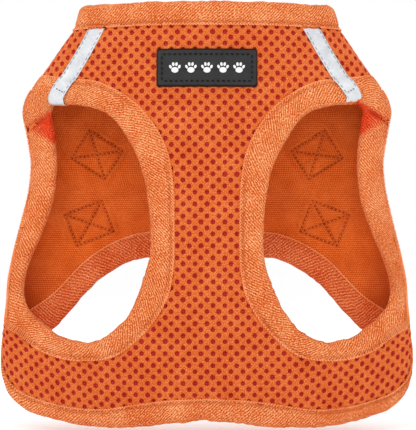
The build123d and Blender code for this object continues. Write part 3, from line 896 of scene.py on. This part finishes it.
def sew(name, segments, radius, material, body, node=None):
    """A piece of stitches that rides on a named body, or, given side -1 or 1, has its placement baked into its mesh."""
    attach = settle if isinstance(body, str) else bend_with_flap
    attach(stitch_mesh(name, segments, radius, material), body, THREAD_SLOT[material], node)


# ---- chest and back
GAP = 0.45  # from the middle of the back to each flap's tape
chest_keep = lambda s, z: is_cloth(s, z) & (np.abs(s) < fold_split(z))
chest_mesh = air_mesh("chest_air_mesh", chest_keep, (-125, 125), (0, 215))
settle(chest_mesh, "harness", "mesh", "chest_mesh")

chest_lining = plain_cloth("chest_inner_lining", chest_keep, (-125, 125), (0, 215), 1.8, LINING_N, LINING)
settle(chest_lining, "harness", "lining", "chest_lining")

for side, word in SIDES.items():
    # The leg tapes get the shoulder's crease and its painted red shade.
    leg = tape(word + "_leg_tape", LEG, True, side, 31 if side < 0 else 57, bias=-side, crease_shaded=True)
    settle(leg, "harness", "binding", word + "_leg_binding")

SPLIT_RUN = float(fold_split(40.0))
front_hem_rows = reversed_mirror(part_rows(HEM, 0, SPLIT_RUN + 4))
hem = tape("front_hem_tape", front_hem_rows, False, 1, 71)
settle(hem, "harness", "binding", "front_hem_binding")
NECK_SPLIT = float(fold_split(206.0))
front_neck_rows = reversed_mirror(part_rows(NECK, 0, NECK_SPLIT - 3))
neck = tape("front_neck_tape", front_neck_rows, False, 1, 83, bias=-1)
settle(neck, "harness", "binding", "front_neck_binding")


# ---- stitched boxes of the straps
BOXES = [(-56.0, 137.5, -32.0), (-60.0, 102.5, 21.0)]
BOX_LONG, BOX_WIDE = 20.0, 17.0


def box_lines(box):
    """The sewn lines of a box and its cross, as pairs of (x, z) ends on the left flap."""
    x, z, tilt = box
    c, s = math.cos(math.radians(tilt)), math.sin(math.radians(tilt))
    corner = [(x + a * c - b * s, z + a * s + b * c)
              for a, b in ((-BOX_LONG / 2, -BOX_WIDE / 2), (BOX_LONG / 2, -BOX_WIDE / 2),
                           (BOX_LONG / 2, BOX_WIDE / 2), (-BOX_LONG / 2, BOX_WIDE / 2))]
    pairs = [(0, 1), (1, 2), (2, 3), (3, 0), (0, 2), (1, 3)]
    return [(np.array(corner[a]), np.array(corner[b])) for a, b in pairs]


def nearest_line(x, z, lines):
    """Distance to the nearest sewn line, and how far along it the nearest point is."""
    best, along = np.full(np.shape(x), 99.0), np.zeros(np.shape(x))
    for p, q in lines:
        d = q - p
        length = math.hypot(*d)
        t = np.clip(((x - p[0]) * d[0] + (z - p[1]) * d[1]) / length**2, 0, 1)
        here = np.hypot(x - p[0] - t * d[0], z - p[1] - t * d[1])
        along = np.where(here < best, t * length, along)
        best = np.minimum(best, here)
    return best, along


STITCH = 2.1  # spacing of the needle holes in the sewn boxes
SEWN_LINES = [line for box in BOXES for line in box_lines(box)]


def back_x(s, z):
    """Where a point on the back's flat face is, on the left."""
    reach, f, big, a0, chest, side = section(z)
    return -(reach - (np.abs(s) - side))


def quilted(s, z):
    """How the sewn boxes pull the lining in between their needle holes."""
    x = back_x(s, z)
    d, along = nearest_line(x, z, SEWN_LINES)
    near = np.exp(-(d / 8.0) ** 2)
    puff = 0.55 + 0.45 * np.cos(2 * np.pi * along / STITCH)
    ridge = 0.62 * np.exp(-((d - 1.7) / 1.0) ** 2) * (0.6 + 0.6 * noise2(x + 200, z, 25, 2.1))
    hollow = near * (0.25 + 0.3 * noise2(x + 200, z, 21, 4.5))
    return 0.6 * np.exp(-(d / 0.7) ** 2) * (1 - 0.6 * puff) - 1.5 * ridge - hollow


# Painted shade on the back lining: darker along the sewn box lines and in the lower corner by the side fold.
def painted_seam_and_corner_shade(s, z):
    x = back_x(s, z)
    d, _ = nearest_line(x, z, SEWN_LINES)
    corner = np.clip((np.abs(s) < 200) * (np.abs(x) - 76) / 16, 0, 1) * np.clip((98 - z) / 34, 0, 1)
    return np.clip(0.2 * np.exp(-(d / 0.6) ** 2) + 0.55 * corner, 0, 1)


def back_keep(side, overlap, margin):
    """Which points a layer of the back covers: how far it runs past the split and stops short of the middle."""
    return lambda s, z: ((s * side > 0) & is_cloth(s, z) & (np.abs(s) >= fold_split(z) - overlap)
                         & (np.abs(s) < half_run(z) - margin))


def back_rows(rows, start):
    """The part of a band's edge rows that lies on the back."""
    rows = rows[rows[:, 0] >= start]
    return rows[np.abs(rows[:, 0]) < half_run(rows[:, 1]) - GAP]


for side, word in SIDES.items():
    span = (-205, -95) if side < 0 else (95, 205)
    flap = word + "_flap"
    back = air_mesh(word + "_back_air_mesh", back_keep(side, 0.0, 2.2), span, (30, 215))
    bend_with_flap(back, side, "mesh", word + "_back_mesh")
    inner = plain_cloth(word + "_back_inner_lining", back_keep(side, 2.5, 1.5), span, (30, 215), 0.8, LINING_N, LINING,
                        quilted, painted_seam_and_corner_shade)
    bend_with_flap(inner, side, "lining", word + "_back_lining")
    hem_rows = back_rows(HEM, SPLIT_RUN + 2)
    # Painted shade: the back hem tape's inner face is reddened as if in shadow.
    back_hem = tape(word + "_back_hem_tape", hem_rows, False, side, 101 + side, inner_face_shade=0.3)
    bend_with_flap(back_hem, side, "binding", word + "_hem_binding")
    back_neck = tape(word + "_back_neck_tape", back_rows(NECK, NECK_SPLIT - 5), False, side, 121 + side)
    bend_with_flap(back_neck, side, "binding", word + "_neck_binding")
    edge_z = np.arange(93.0, 201.0, STEP)
    edge = np.stack([half_run(edge_z) - GAP, edge_z, half_run(edge_z) - GAP - 8.0, edge_z], -1)
    edge_tape = tape(word + "_centre_tape", edge, False, side, 141 + side, outward=0.35, inward=-3.55, puff=0.0,
                     pucker=0.15)
    settle(edge_tape, flap, "binding")

    seams, holes = [], []
    for p, q in SEWN_LINES:
        p, q = (np.array([side * abs(v[0]), BACK - 3.3, v[1]]) for v in (p, q))
        length = np.linalg.norm(q - p)
        for k in range(int(length / STITCH)):
            a, b = (p + (q - p) * ((k + t) * STITCH + 0.2) / length for t in (0.22, 0.82))
            seams.append((a, b, TO_FRONT))
            # Dark marks at the needle holes, painted shade inside them.
            c, d = (p + (q - p) * ((k + t) * STITCH + 0.2) / length for t in (-0.09, 0.09))
            holes.append((c - (0, 0.25, 0), d - (0, 0.25, 0), TO_FRONT))
    sew(word + "_box_seams", seams, 0.44, SEAM, flap, word + "_box_stitching")
    sew(word + "_box_needle_holes", holes, 0.4, NEEDLE_HOLE_SHADE, flap)

    sew(word + "_leg_tape_seam", tape_seam(LEG, side, True), SEAM_R, TAPE_SEAM, "harness")
    sew(word + "_leg_tape_rim", edging(LEG, side, True, bars=True), RIM_R, RIM, "harness")
    sew(word + "_back_hem_rim", edging(hem_rows, side, False, inside=True), RIM_R, RIM, side)
    sew(word + "_back_hem_outer_rim", edging(hem_rows, side, False), RIM_R, RIM, side)
    sew(word + "_leg_tape_inner_seam", tape_seam(LEG, side, True, n=TAPE_IN + 0.35, face=-1), SEAM_R, TAPE_SEAM,
        "harness")

for word, rows in (("hem", front_hem_rows), ("neck", front_neck_rows)):
    sew("front_%s_tape_seam" % word, tape_seam(rows, 1, False), SEAM_R, TAPE_SEAM, "harness")
    sew("front_%s_tape_rim" % word, edging(rows, 1, False), RIM_R, RIM, "harness")


# ---- reflective stripes
def stripe(side):
    word = SIDES[side]
    knots = np.array(STRIPE_AXIS)
    fine = np.linspace(0, len(knots) - 1, 61)
    axis = np.stack([pchip(np.arange(len(knots)), knots[:, k])(fine) for k in (0, 1)], -1)
    if side > 0:
        axis[:, 0] += np.interp(axis[:, 1], [164, 202], STRIPE_SHIFT)
        axis[:, 1] += np.interp(axis[:, 1], [164, 176], [1.2, 0.0])
    ahead = np.gradient(axis, axis=0)
    ahead /= np.linalg.norm(ahead, axis=1)[:, None]
    cross = np.stack([-ahead[:, 1], ahead[:, 0]], -1)
    sewn = LEG[:, 2:4]
    verts, uvs = [], []
    columns = np.linspace(-0.5, 0.5, 11)
    for i, (p, c) in enumerate(zip(axis, cross)):
        for u in columns:
            x, z = p + c * u * STRIPE_WIDE
            s = run_front(abs(x), z)
            d_sewn = np.min(np.hypot(sewn[:, 0] - s, sewn[:, 1] - z))
            over = inside_polygon(np.array([s]), np.array([z]), sewn)[0]
            rise = 0.55 + (1.5 * np.clip(d_sewn / 1.6, 0, 1) if over else 0.0)
            rise += 0.12 * noise2(x + 90, z, 61 if side < 0 else 63, 3.4)
            rise -= 1.1 * np.clip((z - 199.6) / 1.6, 0, 1)
            verts.append(surf(side * s, z, rise + 0.5 * body_sag(side * s, z)))
            uvs.append((i * 0.8, u * STRIPE_WIDE))
    last = len(axis) - 1
    for a in np.linspace(0.25, 1.0, 7):
        for u in columns:
            x, z = axis[last] + cross[last] * u * STRIPE_WIDE
            s = run_front(abs(x), z)
            t = math.pi * a
            verts.append(surf(side * s, z - 2.7 * math.sin(t), -1.6 + 3.7 * math.cos(t) + 0.5 * body_sag(side * s, z)))
            uvs.append((last * 0.8 + a * 9, u * STRIPE_WIDE))
    n = len(columns)
    rows = len(verts) // n
    faces = []
    for i in range(rows - 1):
        for k in range(n - 1):
            q = (i * n + k, (i + 1) * n + k, (i + 1) * n + k + 1, i * n + k + 1)
            faces.append(q if side < 0 else q[::-1])
    obj = make(word + "_reflective_tape", verts, faces, RETRO, uv=uvs)
    solid = obj.modifiers.new("thickness", "SOLIDIFY")
    solid.thickness, solid.offset = 0.35 * MM, -1.0
    settle(obj, "harness", "reflective", word + "_reflective_stripe")
    grid = np.array(verts).reshape(rows, n, 3)
    segments = []
    for k in (1, n - 2):
        path = grid[2:44, k]
        up = np.cross(grid[2:44, k + 1] - grid[2:44, k], grid[3:45, k] - grid[2:44, k])
        up /= np.linalg.norm(up, axis=1)[:, None]
        if up[0][1] > 0:
            up = -up
        segments += row_of_stitches(path + up * 0.05, up, 1.9, 1.0)
    sew(word + "_stripe_seam", segments, 0.17, GREY_THREAD, "harness")
    tack = []
    centre = int(np.argmin(np.abs(axis[:, 1] - 169.0)))
    for k in (3, 5, 7):
        p, q = grid[centre, k], grid[centre, k + 1]
        tack.append((p + (0, -0.15, 0), q + (0, -0.15, 0.35), TO_FRONT))
    sew(word + "_stripe_tack", tack, 0.26, BLACK_THREAD, "harness")


for side in (-1, 1):
    stripe(side)


# ---- label patch
LABEL_Z, LABEL_W, LABEL_H, LABEL_CORNER = 179.6, 49.8, 19.1, 1.6
PAW_STEP, PAW_FOOT = 7.8, 1.9  # spacing of the paw prints, and where they start above the chest


def rounded_outline(w, h, r):
    out, count = [], 6
    for cx, cz, start in ((w / 2 - r, h / 2 - r, 0), (-w / 2 + r, h / 2 - r, 90), (-w / 2 + r, -h / 2 + r, 180),
                          (w / 2 - r, -h / 2 + r, 270)):
        for k in range(count + 1):
            a = math.radians(start + 90 * k / count)
            out.append((cx + r * math.cos(a), cz + r * math.sin(a)))
    return out


def patch_point(x, z, n):
    """A point on the label: x from its middle, z from its middle, n above the chest."""
    s = math.copysign(run_front(abs(x), LABEL_Z + z), x) if x else 0.0
    return surf(s, LABEL_Z + z, n)


def label():
    levels = [(0.0, 0.15), (0.0, 0.8), (0.95, 2.0), (1.3, 2.2), (2.2, 2.2), (2.5, 2.1)]  # inset and height
    rings = 5  # rings of the flat top, inside the last level
    ring = rounded_outline(LABEL_W, LABEL_H, LABEL_CORNER)
    steps = []
    for p, q in zip(ring, ring[1:] + ring[:1]):
        parts = max(1, int(math.hypot(q[0] - p[0], q[1] - p[1]) / 1.7 + 0.5))
        steps += [(p[0] + (q[0] - p[0]) * k / parts, p[1] + (q[1] - p[1]) * k / parts) for k in range(parts)]
    count = len(steps)
    verts = []
    for inset, n in levels:
        scale_x, scale_z = (LABEL_W - 2 * inset) / LABEL_W, (LABEL_H - 2 * inset) / LABEL_H
        verts += [patch_point(x * scale_x, z * scale_z, n) for x, z in steps]
    for ring in range(1, rings):
        share = 1 - ring / rings
        verts += [patch_point(x * scale_x * (share + (1 - share) * 0.62), z * scale_z * share, n) for x, z in steps]
    faces = ring_faces(0, count, len(levels) + rings - 2)
    faces.append(tuple(range(len(verts) - count, len(verts))))
    # The side walls and bevel take the darker painted-shade copy of the rubber.
    kinds = [1] * (2 * count) + [0] * (len(faces) - 2 * count)
    obj = make("label_rubber_patch", verts, faces, [RUBBER, RUBBER_SIDE_SHADE], face_materials=kinds)
    obj.modifiers.new("edges", "EDGE_SPLIT").split_angle = math.radians(50)
    settle(obj, "harness", "patch", "label_patch")
    dashes = []
    inset = 2.9
    w, h = LABEL_W / 2 - inset, LABEL_H / 2 - inset
    for p, q in (((-w, h), (w, h)), ((w, h), (w, -h)), ((w, -h), (-w, -h)), ((-w, -h), (-w, h))):
        t = np.linspace(0, 1, 60)
        path = np.array([patch_point(p[0] + (q[0] - p[0]) * k, p[1] + (q[1] - p[1]) * k, 2.12) for k in t])
        dashes += row_of_stitches(path, TO_FRONT, 1.6, 1.0)
    sew("label_seam", dashes, 0.38, BLACK_THREAD, "harness")


def disc(verts, faces, cx, cz, rx, rz, turn, high):
    """A raised, softly domed ellipse on the label."""
    base, count = len(verts), 24
    for share, n in ((1.0, PAW_FOOT), (1.0, high - 0.12), (0.9, high), (0.45, high + 0.06)):
        for k in range(count):
            a = 2 * math.pi * k / count
            x, z = rx * share * math.cos(a), rz * share * math.sin(a)
            c, s = math.cos(math.radians(turn)), math.sin(math.radians(turn))
            verts.append(patch_point(cx + x * c - z * s, cz + x * s + z * c, n))
    faces += ring_faces(base, count, 3)
    faces.append(tuple(base + 3 * count + k for k in range(count)))


def emblem():
    """Five plain paw prints, raised in white."""
    verts, faces = [], []
    for i in range(5):
        x = (i - 2) * PAW_STEP
        disc(verts, faces, x, -1.25, 1.75, 1.4, 0, 2.75)
        for dx, dz, turn in ((-2.15, 0.35, 25), (-0.78, 1.6, 8), (0.78, 1.6, -8), (2.15, 0.35, -25)):
            disc(verts, faces, x + dx, dz, 0.62, 0.95, turn, 2.7)
    obj = make("label_paw_prints", verts, faces, WHITE_RUBBER)
    settle(obj, "harness", "emblem", "label_emblem")


label()
emblem()


# ---- closure, straps, metal
def strip_solid(name, x0, x1, y0, y1, z0, z1, material, bulge, seed):
    """A soft-cornered flat strip in the XZ plane with a gently uneven face."""
    pitch = 1.2
    nx, nz = int((x1 - x0) / pitch), int((z1 - z0) / pitch)
    verts, faces, uvs = [], [], []
    for face in (0, 1):
        for i in range(nx + 1):
            for j in range(nz + 1):
                x, z = x0 + (x1 - x0) * i / nx, z0 + (z1 - z0) * j / nz
                soft = min(1.0, x - x0, x1 - x, z - z0, z1 - z)
                share = 0.25 + 0.75 * soft ** 0.5
                d = share * (y1 - y0) / 2 + bulge * float(noise2(x + 200, z, seed, 5.0)) * soft
                verts.append((x, (y0 + y1) / 2 + (d if face else -(y1 - y0) / 2 * share), z))
                uvs.append((z, x))
    size = (nx + 1) * (nz + 1)
    at = lambda f, i, j: f * size + i * (nz + 1) + j
    for i in range(nx):
        for j in range(nz):
            faces.append((at(1, i, j), at(1, i, j + 1), at(1, i + 1, j + 1), at(1, i + 1, j)))
            faces.append((at(0, i, j), at(0, i + 1, j), at(0, i + 1, j + 1), at(0, i, j + 1)))
    for i in range(nx):
        faces.append((at(0, i, 0), at(1, i, 0), at(1, i + 1, 0), at(0, i + 1, 0)))
        faces.append((at(0, i + 1, nz), at(1, i + 1, nz), at(1, i, nz), at(0, i, nz)))
    for j in range(nz):
        faces.append((at(0, 0, j + 1), at(1, 0, j + 1), at(1, 0, j), at(0, 0, j)))
        faces.append((at(0, nx, j), at(1, nx, j), at(1, nx, j + 1), at(0, nx, j + 1)))
    return make(name, verts, faces, material, uv=uvs)


def slab(name, grid, half, material, closed=False, kinds=None, soft=0.7):
    """A flat strip with rounded edges: grid[i, j] is its middle surface, half its half thickness in mm."""
    grid = np.asarray(grid, float)
    n, m = grid.shape[:2]
    ahead = np.roll(grid, -1, 0) - np.roll(grid, 1, 0) if closed else np.gradient(grid, axis=0)
    normal = np.cross(ahead, np.gradient(grid, axis=1))
    normal /= np.linalg.norm(normal, axis=2)[:, :, None]
    run = np.cumsum(np.linalg.norm(np.diff(grid, axis=0, prepend=grid[:1]), axis=2), axis=0)
    across = np.cumsum(np.linalg.norm(np.diff(grid, axis=1, prepend=grid[:, :1]), axis=2), axis=1)
    edge = np.minimum(across, across[:, -1:] - across)
    if not closed:
        edge = np.minimum(edge, np.minimum(run, run[-1:] - run))
    round_off = np.sqrt(np.clip(1 - (1 - np.clip(edge / soft, 0, 1)) ** 2, 0.12, 1))
    off = normal * (half * round_off)[:, :, None]
    verts = np.concatenate([(grid + off).reshape(-1, 3), (grid - off).reshape(-1, 3)])
    uv = np.stack([run, across], -1).reshape(-1, 2)
    at = lambda face, i, j: face * n * m + (i % n) * m + j
    faces, tags = [], []
    for i in range(n if closed else n - 1):
        for j in range(m - 1):
            faces.append((at(0, i, j), at(0, i + 1, j), at(0, i + 1, j + 1), at(0, i, j + 1)))
            faces.append((at(1, i, j), at(1, i, j + 1), at(1, i + 1, j + 1), at(1, i + 1, j)))
            tags += [kinds[i, j] if kinds is not None else 0] * 2
        faces.append((at(0, i, 0), at(1, i, 0), at(1, i + 1, 0), at(0, i + 1, 0)))
        faces.append((at(0, i, m - 1), at(0, i + 1, m - 1), at(1, i + 1, m - 1), at(1, i, m - 1)))
        tags += [kinds[i, 0], kinds[i, m - 2]] if kinds is not None else [0, 0]
    if not closed:
        for j in range(m - 1):
            faces.append((at(0, 0, j), at(0, 0, j + 1), at(1, 0, j + 1), at(1, 0, j)))
            faces.append((at(0, n - 1, j), at(1, n - 1, j), at(1, n - 1, j + 1), at(0, n - 1, j + 1)))
            tags += [kinds[0, j], kinds[n - 2, j]] if kinds is not None else [0, 0]
    return make(name, verts, faces, material, uv=np.concatenate([uv, uv]),
                face_materials=tags if kinds is not None else None)


def spread_out(length, pitch):
    """Places along a length, closer together at its two ends."""
    ends = (0.0, 0.15, 0.4, 0.8)
    middle = np.linspace(ends[-1], length - ends[-1], max(2, int(length / pitch)))
    return np.unique(np.round(np.concatenate([ends, middle, length - np.array(ends)]), 4))


def rounded_run(points, pitch, closed=False):
    """Points along a run of (x, y) corners with the corners eased."""
    p = np.array(points, float)
    for _ in range(3):
        q = np.roll(p, -1, 0) if closed else p[1:]
        a = p if closed else p[:-1]
        cut = np.stack([a * 0.75 + q * 0.25, a * 0.25 + q * 0.75], 1).reshape(-1, 2)
        p = cut if closed else np.vstack([p[:1], cut, p[-1:]])
    if closed:
        p = np.vstack([p, p[:1]])
    run = run_along(p)
    at = np.linspace(0, run[-1], int(run[-1] / pitch) + 1)
    return at_run(at[:-1] if closed else at, run, p)


WEB_WIDE, WEB_HALF, WEB_TOP = 20.0, 0.8, BACK + 1.6
WEB_END, WEB_START = -36.0, 11.0  # where the sewn legs stop, and how far before a box they start
RING_BAR, BUCKLE_BAR, LOOP_R, LOOP_HALF, LOOP_Z = (-46.0, 28.7), (-31.0, 33.0), 2.45, 0.68, (108.0, 128.0)


def arc(centre, start, end):
    a = np.radians(np.linspace(start, end, 7))
    return [(centre[0] + LOOP_R * math.cos(v), centre[1] + LOOP_R * math.sin(v)) for v in a]


def strap(side):
    word = SIDES[side]
    mirror = np.array([-side, 1.0, 1.0])
    pieces = []
    for number, (cx, cz, turn) in enumerate(BOXES):
        along = np.array([math.cos(math.radians(turn)), math.sin(math.radians(turn))])
        out = np.array([-along[1], along[0]])
        grid = []
        us = spread_out(WEB_WIDE, 1.0) - WEB_WIDE / 2
        lengths = np.array([(WEB_END - (cx - WEB_START * along[0] + out[0] * u)) / along[0] for u in us])
        for t in spread_out(float(lengths.mean()), 1.0) / float(lengths.mean()):
            row = []
            for u, length in zip(us, lengths):
                x, z = np.array([cx, cz]) - WEB_START * along + out * u + along * length * t
                row.append((x, BACK + WEB_HALF + 0.12 * number, z))
            grid.append(row)
        legs = slab("%s_webbing_leg_%d" % (word, number + 1), np.array(grid) * mirror, WEB_HALF, WEBBING)
        pieces.append(legs)
    path = [(-46.0, 26.3), (-43, 26.3), (-40, 26.3), (-36.6, 26.4)] + arc(BUCKLE_BAR, -50, 130)
    path += [(-39.0, 27.9), (-41.0, 27.9)] + arc(RING_BAR, 55, 245)
    loop_line = rounded_run(path, 0.6, True)
    us = spread_out(LOOP_Z[1] - LOOP_Z[0], 1.0) + LOOP_Z[0]
    grid = np.array([[(x, y, z) for z in us] for x, y in loop_line])
    loop = slab(word + "_webbing_loop", grid * mirror, LOOP_HALF, WEBBING, closed=True)
    pieces.append(loop)
    for piece in pieces:
        settle(piece, word + "_flap", "webbing")
    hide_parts(word + "_strap")
    sewn = []
    for p, q in SEWN_LINES:
        line = np.array([(v[0], WEB_TOP, v[1]) for v in (p, q)]) * mirror
        path = line[0] + (line[1] - line[0]) * np.linspace(0, 1, 12)[:, None]
        sewn += row_of_stitches(path, TO_BACK, 1.5, 0.6)
    sew(word + "_webbing_box_seam", sewn, 0.34, BLACK_THREAD, word + "_flap")
    zigzag = []
    for k in range(40):
        z = 109.2 + k * 0.45
        x0, x1 = (-41.0, -39.2) if k % 2 else (-39.2, -41.0)
        zigzag.append((np.array([x0, 28.6, z]) * mirror, np.array([x1, 28.6, z + 0.45]) * mirror, TO_BACK))
    sew(word + "_zigzag_tack", zigzag, 0.26, BLACK_THREAD, word + "_flap", word + "_bar_tack")


for side in (-1, 1):
    strap(side)


TAB_Z, TAB_BORDER = (134.5, 194.5), 6.5


def closure():
    """The tab that crosses the back, and the two strips that hold it."""
    line = rounded_run([(11, 25), (4.2, 25), (-0.4, 27.7), (-22, 27.7)], 0.5)
    run = run_along(line)
    at = spread_out(float(run[-1]), 0.8)
    line = at_run(at, run, line)
    height = TAB_Z[1] - TAB_Z[0]
    us = np.unique(np.concatenate([spread_out(height, 1.0), [TAB_BORDER - 0.05, TAB_BORDER + 0.35],
                                   [height - TAB_BORDER + 0.05, height - TAB_BORDER - 0.35]]))
    grid = np.array([[(x, y, TAB_Z[0] + u) for u in us] for x, y in line])
    from_end = at[-1] - at
    border = np.minimum(np.minimum(us, height - us)[None, :], from_end[:, None])
    lump = noise2(np.repeat(at[:, None], len(us), 1) + 50, np.repeat(us[None, :], len(at), 0), 91, 4.0)
    half = np.where(border < TAB_BORDER, 1.0, 0.72) + 0.07 * lump
    kinds = (border[:-1, :-1] >= TAB_BORDER - 0.3).astype(int)
    tab = slab("closure_tab_cloth", grid, half, [TAPE, LINING], kinds=kinds, soft=0.9)
    settle(tab, "right_flap", "mesh", "closure_tab")
    sewn = []
    inset = TAB_BORDER - 1.4
    for u in (inset, height - inset):
        path = np.array([(x, y + 1.0, TAB_Z[0] + u) for x, y in line[at < at[-1] - inset]])
        sewn += row_of_stitches(path, TO_BACK)
    for x in (-22 + inset, 9.0, 6.2):
        y = 28.7 if x < 0 else 26.0
        path = np.array([(x, y, TAB_Z[0] + u) for u in np.linspace(inset, height - inset, 30)])
        sewn += row_of_stitches(path, TO_BACK)
    sew("closure_tab_seam", sewn, 0.26, TAPE_SEAM, "right_flap")
    for name, body, node, (y0, y1), (z0, z1), bulge, seed in (
            ("closure_loop_pile", "left_flap", "loop_strip", (24.0, 25.2), TAB_Z, 0.12, 3),
            ("closure_hook_pile", "right_flap", "hook_strip", (25.5, 26.7), (136.0, 193.0), 0.06, 5)):
        settle(strip_solid(name, -20.5, -1.5, y0, y1, z0, z1, FASTENER, bulge, seed), body, "hook_and_loop", node)


closure()

for material, nodes in ((STEEL, ("left_d_ring", "right_d_ring")),
                        (PLASTIC, ("buckle_socket", "buckle_plug", "upper_arm", "lower_arm"))):
    for node in nodes:
        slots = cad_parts[node].data.materials
        slots.clear()
        slots.append(material)
